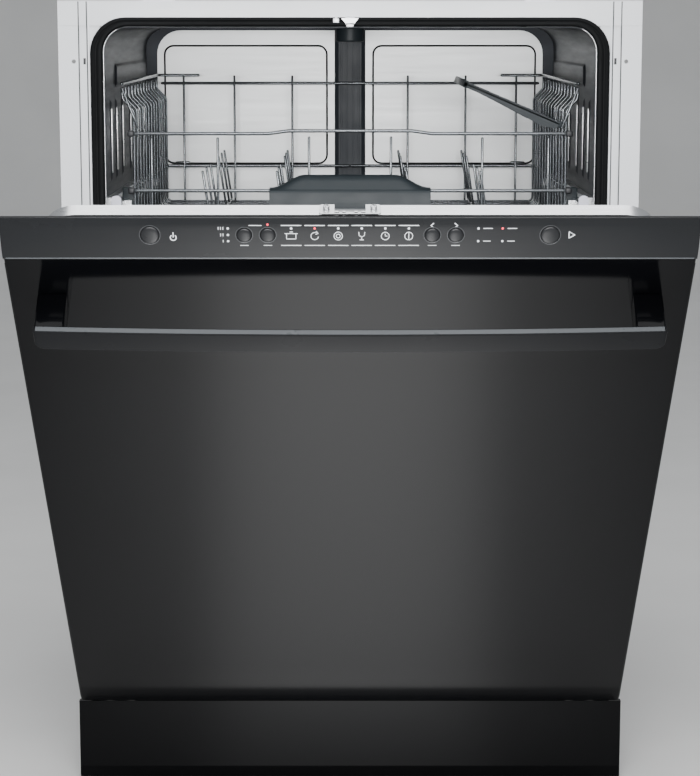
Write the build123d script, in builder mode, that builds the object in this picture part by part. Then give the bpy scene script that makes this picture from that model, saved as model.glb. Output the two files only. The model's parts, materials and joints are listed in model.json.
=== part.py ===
from build123d import *
import math
import os

# Built-in dishwasher, 24 inch class, in millimetres.
# Origin: on the floor, centred across the width, in the plane of the tub's front edge.
# +X to the right as the user faces the appliance, +Y towards the wall behind it, +Z up.
# The door is modelled closed, then swung about its hinge to the half-open rest position.

# ---------------------------------------------------------------- driving dimensions
frame_width = 611.0          # overall width across the white front frame
overall_height = 860.0       # floor to the top of the front frame
cabinet_depth = 560.0        # tub front edge to the back of the base
sheet = 1.5                  # stainless tub wall
tub_half_width = 260.0       # inside half-width of the wash chamber
tub_depth = 510.0            # inside depth
tub_ceiling = 832.0          # inside height of the ceiling
tub_ledge = 184.0            # level that the lower rack's wheels roll on
tub_corner = 28.0            # rounded upper edges of the chamber
basin_depth = 24.0           # the floor falls by this much towards the sump
basin_size = (466.0, 370.0)
basin_y = 275.0
sump_y = 175.0               # sump and filter sit in front of the spray arm's riser
arm_y = 262.0                # axis of both spray arms

hinge_y = -2.8               # door pivot, just in front of the tub's edge
hinge_z = 191.4
rest_angle = 40.75           # opening of the door at rest
door_width = 598.0
door_bottom = 99.0
door_thickness = 44.0        # outer skin to the tub's front plane
door_back = 16.0             # rear return of the outer panel
panel_top = 811.5            # top of the outer panel, under the fascia
skin = 1.2                   # painted sheet of the door

liner_half_width = 268.0
liner_top = 838.0
liner_bottom = 190.0         # high enough to clear the tub sill when the door lies flat
liner_front = 4.3            # sealing rim, a hair in front of the gasket
bulge = 6.0                  # raised middle of the liner, inside the tub mouth
notch_half = 13.5            # slot in the liner's top for the striker

fascia_base = 812.0
fascia_bottom = 815.5        # lower edge of the visible face
fascia_top = 855.0
fascia_wall = 2.5
fascia_radius = 80.0         # convex face, seen from the side
face_y = 33.3                # axis of the convex face, closed door
face_z = 811.8
button_level = 839.7         # height of the button centres, closed door

handle_half_length = 274.5
handle_top = 768.6
handle_height = 22.7
handle_standoff = 38.2       # clear depth behind the ends of the bar
handle_bow = 4.3             # extra stand-off at mid length
bar_thickness = 7.3
post_width = 26.3

kick_setback = 35.0          # toe kick face behind the tub's front plane
kick_top = 91.0
kick_bottom = 3.0
kick_half_width = 302.0

rack_front = 38.0            # front wires of both racks, behind the tub's front plane
rack_back = 476.0
wire = 1.9                   # radius of the rim wires
thin_wire = 1.4              # radius of the filling wires
gap = 0.05                   # wires that cross lie on each other without merging

upper_half = 232.0
upper_floor = 612.0
upper_mid = 659.0
upper_rim = 720.0
upper_side_top = 773.0
upper_back_rim = 763.0
feed_z = upper_floor - 14

lower_half = 236.0
lower_floor = 238.0
lower_mid = 284.0
lower_rim = 332.0
wheel_radius = 17.0
wheel_z = tub_ledge + wheel_radius + 0.2
wheel_places = {"front": 84.0, "rear": 430.0}

pin_radius = 4.0
ear_radius = 9.5

swing = (
    Location((0, hinge_y, hinge_z))
    * Location((0, 0, 0), (rest_angle, 0, 0))
    * Location((0, -hinge_y, -hinge_z))
)

os.makedirs("parts", exist_ok=True)


# ---------------------------------------------------------------- shared helpers
def keep(builder, label, on_door=False):
    """Label a finished sub-part, swing it if it belongs to the door, and write it."""
    if on_door:
        builder.part.move(swing)
    builder.part.label = label
    export_step(builder.part, f"parts/{label}.step")


def block(x, y, z, mode=Mode.ADD):
    """A box from its lowest to its highest value along each axis."""
    centre = ((x[0] + x[1]) / 2, (y[0] + y[1]) / 2, (z[0] + z[1]) / 2)
    with Locations(centre):
        Box(x[1] - x[0], y[1] - y[0], z[1] - z[0], mode=mode)


def side_block(sign, x, y, z, mode=Mode.ADD):
    """A box on one side of the appliance; x is given as distances from the middle."""
    block(sorted((sign * x[0], sign * x[1])), y, z, mode)


def rods(starts, direction, length, radius):
    """Equal straight wires that leave the given points in one direction."""
    with Locations([Plane(origin=start, z_dir=direction) for start in starts]):
        Cylinder(radius, length, align=(Align.CENTER, Align.CENTER, Align.MIN))


def spread(first, last, count):
    """Evenly spaced values from first to last."""
    return [first + (last - first) * i / (count - 1) for i in range(count)]


def drum(centre, axis, radius, length, mode=Mode.ADD):
    """A cylinder whose base is at centre and which grows along axis."""
    with Locations(Plane(origin=centre, z_dir=axis)):
        Cylinder(radius, length, align=(Align.CENTER, Align.CENTER, Align.MIN), mode=mode)


BACK = (0, 1, 0)
FRONT = (0, -1, 0)
UP = (0, 0, 1)
DOWN = (0, 0, -1)
RIGHT = (1, 0, 0)


# ---------------------------------------------------------------- wash chamber
def arch(depth, half_width, bottom, top, corner):
    """An upright rectangle facing forwards, with rounded upper corners."""
    with BuildSketch(Plane.XZ.offset(depth)) as outline:
        with Locations((0, (bottom + top) / 2)):
            Rectangle(2 * half_width, top - bottom)
        fillet(outline.vertices().group_by(Axis.Y)[-1], corner)
    return outline.sketch


def basin_mouth(level, shrink):
    """Outline of the funnel-like lowering of the floor."""
    with BuildSketch(Plane.XY.offset(level)) as outline:
        with Locations((0, basin_y)):
            RectangleRounded(basin_size[0] - 2 * shrink, basin_size[1] - 2 * shrink, 40 - shrink)
    return outline.sketch


basin_floor = tub_ledge - basin_depth
with BuildPart() as tub_shell:
    extrude(arch(0, tub_half_width + sheet, tub_ledge - sheet, tub_ceiling + sheet, tub_corner),
            amount=-tub_depth - sheet)
    extrude(basin_mouth(tub_ledge - sheet, 0), amount=-basin_depth, taper=30)
    extrude(arch(0, tub_half_width, tub_ledge, tub_ceiling, tub_corner - sheet),
            amount=-tub_depth, mode=Mode.SUBTRACT)
    extrude(basin_mouth(tub_ledge, sheet), amount=-basin_depth, taper=30, mode=Mode.SUBTRACT)
    drum((0, sump_y, basin_floor - 5), UP, 52, 10, Mode.SUBTRACT)
    drum((0, tub_depth - 5, 300), BACK, 8, 10, Mode.SUBTRACT)
keep(tub_shell, "tub_shell")

sump_top = basin_floor - sheet
with BuildPart() as sump:
    drum((0, sump_y, sump_top), DOWN, 70, 4)
    drum((0, sump_y, sump_top), DOWN, 58, 62)
    drum((0, sump_y + 50, sump_top - 40), BACK, 16, 24)
    drum((0, sump_y, sump_top), DOWN, 52, 58, Mode.SUBTRACT)
    drum((0, sump_y, sump_top - 40), BACK, 13, 90, Mode.SUBTRACT)
keep(sump, "sump")

with BuildPart() as filter_plate:
    with BuildSketch(Plane.XY.offset(basin_floor + 0.1)):
        with Locations((0, sump_y)):
            RectangleRounded(260, 124, 30)
            Circle(31, mode=Mode.SUBTRACT)
            with PolarLocations(44, 12):
                Circle(3.5, mode=Mode.SUBTRACT)
    extrude(amount=1.2)
keep(filter_plate, "filter_plate")

with BuildPart() as filter_cylinder:
    drum((0, sump_y, sump_top - 48), UP, 30.4, 62)
    drum((0, sump_y, sump_top - 48), UP, 27.5, 56, Mode.SUBTRACT)
    block((-3, 3), (sump_y - 20, sump_y + 20), (sump_top + 14, sump_top + 24))
keep(filter_cylinder, "filter_cylinder")

duct_half = 18.5
duct_face = tub_depth - 14
shower_radius = 16.5
with BuildPart() as rear_feed_duct:
    block((-duct_half, duct_half), (duct_face, tub_depth - 0.3), (208, tub_ceiling - 3))
    chamfer(rear_feed_duct.edges().filter_by(Axis.Z).group_by(Axis.Y)[0], 4)
    drum((0, duct_face, feed_z), FRONT, 14, 10)
    drum((0, duct_face + 6, feed_z), FRONT, 9, 20, Mode.SUBTRACT)
keep(rear_feed_duct, "rear_feed_duct")

with BuildPart() as lower_arm_riser:
    drum((0, arm_y, basin_floor + 0.1), UP, 15, 42)
    drum((0, arm_y, basin_floor + 0.1), UP, 5, 62)
    drum((0, arm_y, basin_floor + 61), UP, 9, 4)
keep(lower_arm_riser, "lower_arm_riser")

with BuildPart() as top_shower_head:
    block((-9, 9), (arm_y, duct_face - 0.5), (tub_ceiling - 12, tub_ceiling - 1))
    drum((0, arm_y, tub_ceiling - 1), DOWN, shower_radius, 15)
    fillet(top_shower_head.faces().sort_by(Axis.Z)[0].edges(), 2)
    with Locations((0, arm_y, tub_ceiling - 16)):
        with PolarLocations(shower_radius - 6, 8):
            Cylinder(1.6, 6, mode=Mode.SUBTRACT)
keep(top_shower_head, "top_shower_head")

# ---------------------------------------------------------------- front frame and seal
frame_half = frame_width / 2
frame_foot = 206.0           # the side columns start above the hinges
frame_inner = tub_half_width + sheet + 0.3
side_step = 284.0            # the face steps back by one sheet inside this line
beam_bottom = tub_ceiling + sheet + 0.5
fixing_half = 289.5          # holes for the screws into the neighbouring cupboards
fixing_level = 797.0
bracket_pitch = 400.0

with BuildPart() as front_frame_sides:
    for sign in (-1, 1):
        with BuildSketch(Plane.XY.offset(frame_foot)):
            with BuildLine():
                Polyline(
                    (sign * frame_inner, 1.2), (sign * side_step, 1.2), (sign * side_step, 0),
                    (sign * frame_half, 0), (sign * frame_half, 40),
                    (sign * (frame_half - 1.2), 40), (sign * (frame_half - 1.2), 1.2),
                    (sign * (side_step + 1.2), 1.2), (sign * (side_step + 1.2), 2.4),
                    (sign * frame_inner, 2.4), close=True,
                )
            make_face()
        extrude(amount=beam_bottom - 0.2 - frame_foot)
        drum((sign * fixing_half, -5, fixing_level), BACK, 2.2, 12, Mode.SUBTRACT)
keep(front_frame_sides, "front_frame_sides")

with BuildPart() as front_frame_top:
    block((-frame_half, frame_half), (0, 1.2), (beam_bottom, overall_height))
    block((-frame_half, frame_half), (0, 60), (overall_height - 1.2, overall_height))
    block((-frame_half, frame_half), (58.8, 60), (overall_height - 12, overall_height))
    with Locations((0, 30, overall_height)):
        with GridLocations(bracket_pitch, 24, 2, 2):
            Cylinder(2, 10, mode=Mode.SUBTRACT)
keep(front_frame_top, "front_frame_top")

with BuildPart() as countertop_brackets:
    with Locations((0, 30, overall_height)):
        with GridLocations(bracket_pitch, 1, 2, 1):
            Box(34, 48, 1.2, align=(Align.CENTER, Align.CENTER, Align.MIN))
        with GridLocations(bracket_pitch, 24, 2, 2):
            Cylinder(2, 10, mode=Mode.SUBTRACT)
keep(countertop_brackets, "countertop_brackets")

seal_inner = tub_half_width - 1
seal_outer = tub_half_width + 12
seal_depth = 4.0
seal_top = tub_ceiling + 10.7
with BuildPart() as door_gasket:
    extrude(arch(0, seal_outer, frame_foot, seal_top, 37), amount=seal_depth)
    extrude(arch(-1, seal_inner, frame_foot - 1, tub_ceiling + 1.5, 27), amount=seal_depth + 2,
            mode=Mode.SUBTRACT)
keep(door_gasket, "door_gasket")

with BuildPart() as latch_striker:
    block((-9.4, 9.4), (-5.4, 0), (843.2, 846))
    block((-9.4, 9.4), (-5.4, -4.1), (835.2, 846))
    block((-9.4, 9.4), (-14, -4.1), (835.2, 836.8))
    block((-9.4, 9.4), (-14, -12.6), (832.4, 836.8))
    block((-17.7, -11.5), (-2.4, 0), (843.2, 848.2))
keep(latch_striker, "latch_striker")

# ---------------------------------------------------------------- rack rails
rail_z = 643.0
with BuildPart() as rack_rails:
    for sign in (-1, 1):
        side_block(sign, (251.5, tub_half_width - 0.2), (18, 490), (rail_z - 10, rail_z + 10))
        side_block(sign, (251, 255.5), (10, 500), (rail_z - 5, rail_z + 5), Mode.SUBTRACT)
keep(rack_rails, "rack_rails")

# ---------------------------------------------------------------- insulation and base
with BuildPart() as insulation_blanket:
    top_face = tub_ceiling + sheet + 0.3
    block((-230, 230), (62, 500), (top_face, top_face + 14))
    for sign in (-1, 1):
        side_block(sign, (tub_half_width + sheet + 0.3, 279), (42, 500), (232, 800))
    block((-250, 250), (tub_depth + sheet + 0.3, tub_depth + 18), (232, 800))
keep(insulation_blanket, "insulation_blanket")

base_half = 297.0
tub_underside = tub_ledge - sheet - 0.1
cable_x = -198.0
cable_z = 50.0
cable_notch = 14.0
foot_grid = (540, 430)
foot_middle = 285.0
with BuildPart() as base_tray:
    block((-base_half, base_half), (44, cabinet_depth), (22, 26))
    for sign in (-1, 1):
        side_block(sign, (base_half - 4, base_half), (102, cabinet_depth), (26, 150))
        side_block(sign, (242, 247), (102, tub_depth), (26, tub_underside))
        side_block(sign, (262, 292), (44, 48), (26, 84))
    block((-base_half, base_half), (cabinet_depth - 4, cabinet_depth), (26, 150))
    block((-242, 242), (102, 106), (26, 120))
    with Locations((0, foot_middle, 24)):
        with GridLocations(*foot_grid, 2, 2):
            Cylinder(5.3, 12, mode=Mode.SUBTRACT)
    # ways out at the back for the water inlet and the drain
    drum((170, cabinet_depth - 10, 70), BACK, 15, 20, Mode.SUBTRACT)
    drum((-95, cabinet_depth - 10, 100), BACK, 15, 20, Mode.SUBTRACT)
    # notch in the back wall for the mains lead, in line with the junction box and open at its top
    block((cable_x - cable_notch, cable_x + cable_notch), (cabinet_depth - 10, cabinet_depth + 10),
          (cable_z - cable_notch, 160), Mode.SUBTRACT)
keep(base_tray, "base_tray")

with BuildPart() as levelling_feet:
    with Locations((0, foot_middle, 0)):
        with GridLocations(*foot_grid, 2, 2):
            Cylinder(17, 7, align=(Align.CENTER, Align.CENTER, Align.MIN))
            Cylinder(5, 56, align=(Align.CENTER, Align.CENTER, Align.MIN))
            Cylinder(9, 21.9, align=(Align.CENTER, Align.CENTER, Align.MIN))
keep(levelling_feet, "levelling_feet")

with BuildPart() as toe_kick:
    kick_x = (-kick_half_width, kick_half_width)
    block(kick_x, (kick_setback, kick_setback + skin), (kick_bottom, kick_top))
    block(kick_x, (kick_setback, kick_setback + 8), (kick_top - skin, kick_top))
    block(kick_x, (kick_setback, kick_setback + 8), (kick_bottom, kick_bottom + skin))
    for sign in (-1, 1):
        side_block(sign, (kick_half_width - skin, kick_half_width),
                   (kick_setback, kick_setback + 8), (kick_bottom, kick_top))
        side_block(sign, (262, 292), (kick_setback + skin, 43.9), (40, 70))
keep(toe_kick, "toe_kick")

# ---------------------------------------------------------------- machinery under the tub
spigot_start = 552.0         # the hose ends stick out through the back of the base
spigot_length = 30.0
with BuildPart() as circulation_pump:
    drum((0, 334, 92), BACK, 44, 92)
    drum((0, 368, 92), BACK, 50, 22)
    block((-30, 30), (350, 420), (26.1, 60))
    drum((0, sump_y + 60, sump_top - 40), BACK, 12.9, 100)
keep(circulation_pump, "circulation_pump")

with BuildPart() as drain_pump:
    drum((-125, 250, 100), RIGHT, 26, 60)
    drum((-102, 250, 100), RIGHT, 32, 12)
    block((-110, -80), (235, 265), (26.1, 80))
    drum((-95, 250, 100), BACK, 12, spigot_start - 250)
    drum((-95, spigot_start, 100), BACK, 9, spigot_length)
keep(drain_pump, "drain_pump")

with BuildPart() as inlet_valve:
    block((150, 190), (440, 480), (26.1, 90))
    drum((170, 470, 70), BACK, 12, spigot_start - 470)
    drum((170, spigot_start, 70), BACK, 9.5, spigot_length)
    drum((170, 450, 90), UP, 14, 30)
keep(inlet_valve, "inlet_valve")

with BuildPart() as junction_box:
    block((-236, -160), (112, 180), (26.1, 84))
    fillet(junction_box.edges().filter_by(Axis.Z), 5)
    drum((cable_x, 152, cable_z), BACK, 11, 40, Mode.SUBTRACT)
keep(junction_box, "junction_box")

# ---------------------------------------------------------------- door hinges
bracket_x = 288.0
arm_x = 293.0
with BuildPart() as hinge_brackets:
    for sign in (-1, 1):
        with BuildSketch(Plane.YZ.offset(sign * bracket_x)):
            with Locations((hinge_y, hinge_z)):
                Circle(ear_radius)
            with Locations(((hinge_y + 110) / 2, hinge_z)):
                Rectangle(110 - hinge_y, 2 * ear_radius - 2)
        extrude(amount=2, both=True)
        side_block(sign, (bracket_x - 2, bracket_x + 2), (104, 110), (150, hinge_z))
        side_block(sign, (262, bracket_x + 5), (104, 110), (150, 154))
        drum((sign * bracket_x - 10, hinge_y, hinge_z), RIGHT, pin_radius + 0.06, 20, Mode.SUBTRACT)
keep(hinge_brackets, "hinge_brackets")

with BuildPart() as door_springs:
    for sign in (-1, 1):
        drum((sign * 272, 150, 138), BACK, 9, 200)
        drum((sign * 272, 112, 138), BACK, 1.6, 380)
keep(door_springs, "door_springs")

with BuildPart() as hinge_arms:
    for sign in (-1, 1):
        with BuildSketch(Plane.YZ.offset(sign * arm_x)):
            with Locations((hinge_y, hinge_z)):
                Circle(ear_radius)
            with BuildLine():
                Polyline(
                    (hinge_y + 4, hinge_z + 8), (-18, 212), (-18, 330), (-38, 330),
                    (-38, 197), (hinge_y - 3, hinge_z - 8.5), close=True,
                )
            make_face()
        extrude(amount=1.5, both=True)
        drum((sign * arm_x - 10, hinge_y, hinge_z), RIGHT, pin_radius, 20, Mode.SUBTRACT)
keep(hinge_arms, "hinge_arms", on_door=True)

with BuildPart() as hinge_pins:
    for sign in (-1, 1):
        drum((sign * 285, hinge_y, hinge_z), (sign, 0, 0), pin_radius, 10.5)
        drum((sign * 294.6, hinge_y, hinge_z), (sign, 0, 0), 6, 1.8)
keep(hinge_pins, "hinge_pins", on_door=True)

# ---------------------------------------------------------------- door shells
door_half = door_width / 2
post_x = handle_half_length - post_width / 2
handle_middle = handle_top - handle_height / 2
with BuildPart() as door_outer_panel:
    block((-door_half, door_half), (-door_thickness, -door_back), (door_bottom, panel_top))
    fillet(door_outer_panel.faces().sort_by(Axis.Y)[0].edges().filter_by(Axis.Z), 2.5)
    block((-door_half + skin, door_half - skin), (-door_thickness + skin, -door_back - skin),
          (door_bottom + skin, panel_top + 5), Mode.SUBTRACT)
    # behind the liner the panel is open, with narrow returns left at both sides
    block((-liner_half_width - 1, liner_half_width + 1), (-door_back - 5, 0),
          (door_bottom + skin, panel_top + 5), Mode.SUBTRACT)
    for sign in (-1, 1):
        # slot in the return for the hinge arm, and the handle's bolt hole
        side_block(sign, (arm_x - 4, arm_x + 4), (-door_back - 5, 0), (175, 222), Mode.SUBTRACT)
        drum((sign * post_x, -door_thickness - 5, handle_middle), BACK, 2.6, 10, Mode.SUBTRACT)
keep(door_outer_panel, "door_outer_panel", on_door=True)


dispenser_x = (-90.0, 90.0)
dispenser_z = (404.0, 526.0)
with BuildPart() as door_inner_liner:
    extrude(arch(liner_front, liner_half_width, liner_bottom, liner_top, 31.4),
            amount=door_back - liner_front)
    extrude(arch(-bulge, 243, 208, 823, 22), amount=bulge + liner_front, taper=-22)
    extrude(arch(liner_front + skin, liner_half_width - skin, liner_bottom + skin, liner_top - skin, 30.2),
            amount=door_back - liner_front, mode=Mode.SUBTRACT)
    extrude(arch(skin - bulge, 243 - skin, 208 + skin, 823 - skin, 21),
            amount=bulge + liner_front + skin, taper=-22, mode=Mode.SUBTRACT)
    block((-notch_half, notch_half), (-door_back - 1, 0), (831, liner_top + 1), Mode.SUBTRACT)
    block((dispenser_x[0], dispenser_x[1]), (-20, 20), dispenser_z, Mode.SUBTRACT)
keep(door_inner_liner, "door_inner_liner", on_door=True)

with BuildPart() as door_lower_cover:
    block((-liner_half_width - 0.8, liner_half_width + 0.8), (-door_back - skin, -door_back),
          (door_bottom + skin + 0.1, 205))
keep(door_lower_cover, "door_lower_cover", on_door=True)

with BuildPart() as door_insulation:
    block((-262, 262), (-41, -18), (215, 742))
    block((-96, 96), (-25, -15), (398, 532), Mode.SUBTRACT)
keep(door_insulation, "door_insulation", on_door=True)

# ---------------------------------------------------------------- latch
with BuildPart() as latch_plate:
    block((-26.8, 26.8), (-door_back, -4.6), (liner_top, liner_top + skin))
    fillet(latch_plate.edges().filter_by(Axis.Z), 3)
    block((-notch_half, notch_half), (-14.8, 0), (liner_top - 1, liner_top + 2), Mode.SUBTRACT)
    for sign in (-1, 1):
        drum((sign * 20.5, -10, liner_top), UP, 3, 2.2)
keep(latch_plate, "latch_plate", on_door=True)

with BuildPart() as door_latch:
    block((-22, 22), (-15.5, -6.5), (803, 829.5))
    block((-8, 8), (-12, -8), (829.5, 831))
keep(door_latch, "door_latch", on_door=True)

# ---------------------------------------------------------------- control fascia
def face_plane(x, z, sunk=0.0):
    """Plane on the convex face at a height; its normal points away from the door."""
    rise = (z - face_z) / fascia_radius
    normal = Vector(0, -math.sqrt(1 - rise * rise), rise)
    middle = Vector(x, face_y, face_z)
    return Plane(origin=middle + normal * (fascia_radius - sunk), x_dir=(1, 0, 0), z_dir=normal)


def fascia_profile(inset=0.0):
    """Side outline of the fascia, or of the hollow inside its wall."""
    low = face_plane(0, fascia_bottom + inset, inset).origin
    middle = face_plane(0, button_level, inset).origin
    high = face_plane(0, fascia_top - inset, inset).origin
    back = -17.5 - inset
    with BuildSketch(Plane.YZ) as outline:
        with BuildLine():
            ThreePointArc((low.Y, low.Z), (middle.Y, middle.Z), (high.Y, high.Z))
            Polyline(
                (high.Y, high.Z), (back, fascia_base + 25 - inset), (back, fascia_base + inset),
                (-door_thickness, fascia_base + inset), (low.Y, low.Z),
            )
        make_face()
    return outline.sketch


buttons = {
    "power_button": (-171.0, 8.0),
    "delay_button": (-90.4, 6.4),
    "sanitize_button": (-70.3, 6.4),
    "cycle_back_button": (70.3, 6.4),
    "cycle_next_button": (90.4, 6.4),
    "start_button": (171.0, 8.0),
}
light_rise = 5.6
lights = [(x, button_level + light_rise) for x in spread(-50.2, 50.2, 6)]
lights += [(-104.2, button_level + rise) for rise in (-light_rise, 0, light_rise)]
lights += [(x, button_level + rise) for x in (109.6, 130.2) for rise in (-light_rise, light_rise)]
lights += [(-70.3, button_level + 8.7)]

with BuildPart() as control_fascia:
    extrude(fascia_profile(), amount=door_half, both=True)
    fillet(control_fascia.edges().filter_by(Axis.X).sort_by(Axis.Z)[-1], 1.5)
    extrude(fascia_profile(fascia_wall), amount=door_half - fascia_wall, both=True, mode=Mode.SUBTRACT)
    block((-280, 280), (-40, -22), (fascia_base - 1, fascia_base + 4), Mode.SUBTRACT)
    for x, radius in buttons.values():
        with Locations(face_plane(x, button_level)):
            Cylinder(radius + 0.35, 10, mode=Mode.SUBTRACT)
    with Locations([face_plane(x, z) for x, z in lights]):
        Cylinder(1, 10, mode=Mode.SUBTRACT)
keep(control_fascia, "control_fascia", on_door=True)

with BuildPart() as indicator_lights:
    with Locations([face_plane(x, z, 3.2) for x, z in lights]):
        Cylinder(1, 3.3, align=(Align.CENTER, Align.CENTER, Align.MIN))
keep(indicator_lights, "indicator_lights", on_door=True)

with BuildPart() as control_board:
    with Locations(face_plane(0, button_level, 11.5)):
        Box(440, 16, 1.6)
keep(control_board, "control_board", on_door=True)

for button_name, (x, radius) in buttons.items():
    with BuildPart() as button:
        with Locations(face_plane(x, button_level, 7)):
            Cylinder(radius, 8.4, align=(Align.CENTER, Align.CENTER, Align.MIN))
        fillet(button.faces().sort_by(Axis.Y)[0].edges(), 0.6)
    keep(button, button_name, on_door=True)


# ---------------------------------------------------------------- bar handle
def bar_plan(level, extra=0.0):
    """Outline of the bowed bar from above, optionally grown forwards."""
    back = -door_thickness - handle_standoff
    front = back - bar_thickness - extra
    tip = handle_half_length
    with BuildSketch(Plane.XY.offset(level)) as outline:
        with BuildLine():
            ThreePointArc((-tip, back), (0, back - handle_bow), (tip, back))
            Line((tip, back), (tip, front))
            ThreePointArc((tip, front), (0, front - handle_bow), (-tip, front))
            Line((-tip, front), (-tip, back))
        make_face()
    return outline.sketch


with BuildPart() as handle_bar:
    extrude(bar_plan(handle_top - handle_height), amount=handle_height)
    fillet(handle_bar.edges().filter_by(Axis.Y).group_by(Axis.Z)[0], 9)
    fillet(handle_bar.faces().sort_by(Axis.Y)[0].edges(), 1.5)
keep(handle_bar, "handle_bar", on_door=True)

with BuildPart() as handle_posts:
    for sign in (-1, 1):
        side_block(sign, (handle_half_length - post_width, handle_half_length),
                   (-door_thickness - handle_standoff - 3, -door_thickness),
                   (handle_top - handle_height, handle_top))
    extrude(bar_plan(handle_top - handle_height - 1, 20), amount=handle_height + 2, mode=Mode.SUBTRACT)
    for sign in (-1, 1):
        drum((sign * post_x, -door_thickness - 16, handle_middle), BACK, 2.5, 20, Mode.SUBTRACT)
keep(handle_posts, "handle_posts", on_door=True)

with BuildPart() as handle_screws:
    for sign in (-1, 1):
        drum((sign * post_x, -door_thickness - 15, handle_middle), BACK, 2.5, 17)
        drum((sign * post_x, -door_thickness + skin, handle_middle), BACK, 5, 3)
keep(handle_screws, "handle_screws", on_door=True)

# ---------------------------------------------------------------- detergent dispenser
lid_hinge_y = 12.5
lid_hinge_z = 510.0
cap_x = 58.0
cap_z = 465.0
with BuildPart() as dispenser_housing:
    block((dispenser_x[0] + 0.2, dispenser_x[1] - 0.2), (-23, 9),
          (dispenser_z[0] + 0.2, dispenser_z[1] - 0.2))
    fillet(dispenser_housing.faces().sort_by(Axis.Y)[-1].edges(), 2)
    block((-62, 28), (-16, 12), (432, 500), Mode.SUBTRACT)
    drum((cap_x, -12, cap_z), BACK, 12.4, 30, Mode.SUBTRACT)
keep(dispenser_housing, "dispenser_housing", on_door=True)

with BuildPart() as dispenser_lid:
    block((-66, 32), (9.4, 12), (426, lid_hinge_z))
    fillet(dispenser_lid.edges().filter_by(Axis.Y).group_by(Axis.Z)[0], 6)
    drum((-66, lid_hinge_y, lid_hinge_z), RIGHT, 3, 98)
    block((-27, -7), (12, 15), (431, 436))
keep(dispenser_lid, "dispenser_lid", on_door=True)

with BuildPart() as rinse_aid_cap:
    drum((cap_x, 9.4, cap_z), BACK, 17, 3)
    drum((cap_x, -8, cap_z), BACK, 12, 18)
    block((cap_x - 13, cap_x + 13), (12, 16), (cap_z - 2, cap_z + 2))
keep(rinse_aid_cap, "rinse_aid_cap", on_door=True)

# ---------------------------------------------------------------- upper rack
side_ys = spread(rack_front + 8, rack_back - 8, 13)
rim_x = upper_half + 3
rim_run = rack_back - rack_front - 2 * wire - 0.4
rim_start = rack_front + wire + 0.2

with BuildPart() as kinked_wire:
    with BuildLine() as kink:
        FilletPolyline(
            (upper_half, 0, upper_floor + 4), (upper_half, 0, 744), (upper_half + 12, 0, 757),
            (upper_half + 12, 0, upper_side_top - wire - gap - 0.1), radius=6,
        )
    with BuildSketch(Plane(origin=(upper_half, 0, upper_floor + 4), z_dir=UP)):
        Circle(thin_wire)
    sweep()

front_xs = [-213, -142, -44, 44, 142, 213]
back_xs = [-210, -146, -73, 73, 146, 210]
floor_xs = spread(-upper_half + 8, upper_half - 8, 14)
cross_ys = [52, 118, 184, 340, 406, 466]
cross_z = upper_floor + 2 * thin_wire + gap
with BuildPart() as upper_rack_frame:
    # front: lower, middle and raised upper wire, then the back wires
    with BuildLine() as crest:
        Polyline(
            (-rim_x, rack_front, upper_rim), (-88, rack_front, upper_rim), (-66, rack_front, upper_rim + 3),
            (66, rack_front, upper_rim + 3), (88, rack_front, upper_rim), (rim_x, rack_front, upper_rim),
        )
    with BuildSketch(Plane(origin=(-rim_x, rack_front, upper_rim), z_dir=RIGHT)):
        Circle(wire)
    sweep(transition=Transition.RIGHT)
    rods([(-rim_x, rack_front, upper_mid), (-rim_x, rack_back, upper_mid),
          (-rim_x, rack_back, upper_back_rim)], RIGHT, 2 * rim_x, wire)
    front_z = upper_floor + thin_wire + gap
    rods([(x, rack_front + wire + thin_wire + gap, front_z) for x in front_xs], UP,
         upper_rim - wire - front_z - 4, thin_wire)
    rods([(x, rack_back - wire - thin_wire - gap, front_z) for x in back_xs], UP,
         upper_side_top - front_z, thin_wire)
    # floor: wires from front to back, with cross wires lying on them
    rods([(x, rack_front + 8, upper_floor) for x in floor_xs], BACK, rack_back - rack_front - 16, thin_wire)
    rods([(-upper_half + 4, y, cross_z) for y in cross_ys], RIGHT, 2 * upper_half - 8, thin_wire)
    for sign in (-1, 1):
        # kinked side wires, with long wires at half height, at the rim and on top
        with Locations([Location((0, y, 0)) for y in side_ys]):
            add(kinked_wire.part if sign > 0 else kinked_wire.part.mirror(Plane.YZ))
        rods([(sign * (upper_half + thin_wire + wire + gap), rim_start, z) for z in (upper_mid, upper_rim)],
             BACK, rim_run, wire)
        rods([(sign * (upper_half + 12), rim_start, upper_side_top)], BACK, rim_run, wire)
        # slanted stay at the front corner
        stay_foot = Vector(sign * (upper_half - 5), rack_front + 1.6, upper_rim + 6)
        stay = Vector(sign * (upper_half + 12), rack_front + 1.6, upper_side_top - 4) - stay_foot
        rods([stay_foot], stay, stay.length, thin_wire)
keep(upper_rack_frame, "upper_rack_frame")

tine_z = cross_z + thin_wire + 0.3
with BuildPart() as upper_rack_tines:
    for x in (-150, -70, 70, 150):
        rods([(x, y, tine_z) for y in cross_ys], (-0.15, 0, 1), 62, thin_wire)
keep(upper_rack_tines, "upper_rack_tines")

handle_face = 12.0
with BuildPart() as upper_rack_handle:
    with BuildSketch(Plane.XZ.offset(-handle_face)):
        with Locations((0, 643)):
            Rectangle(172, 38)
    with BuildSketch(Plane.XZ.offset(-rack_front + wire + 0.3)):
        with Locations((0, 651)):
            Rectangle(116, 56)
    loft()
    fillet(upper_rack_handle.edges().filter_by(Axis.X).group_by(Axis.Z)[-2:], 2)
    block((-70, 70), (handle_face + 4, rack_front), (610, 655), Mode.SUBTRACT)
keep(upper_rack_handle, "upper_rack_handle")

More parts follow.
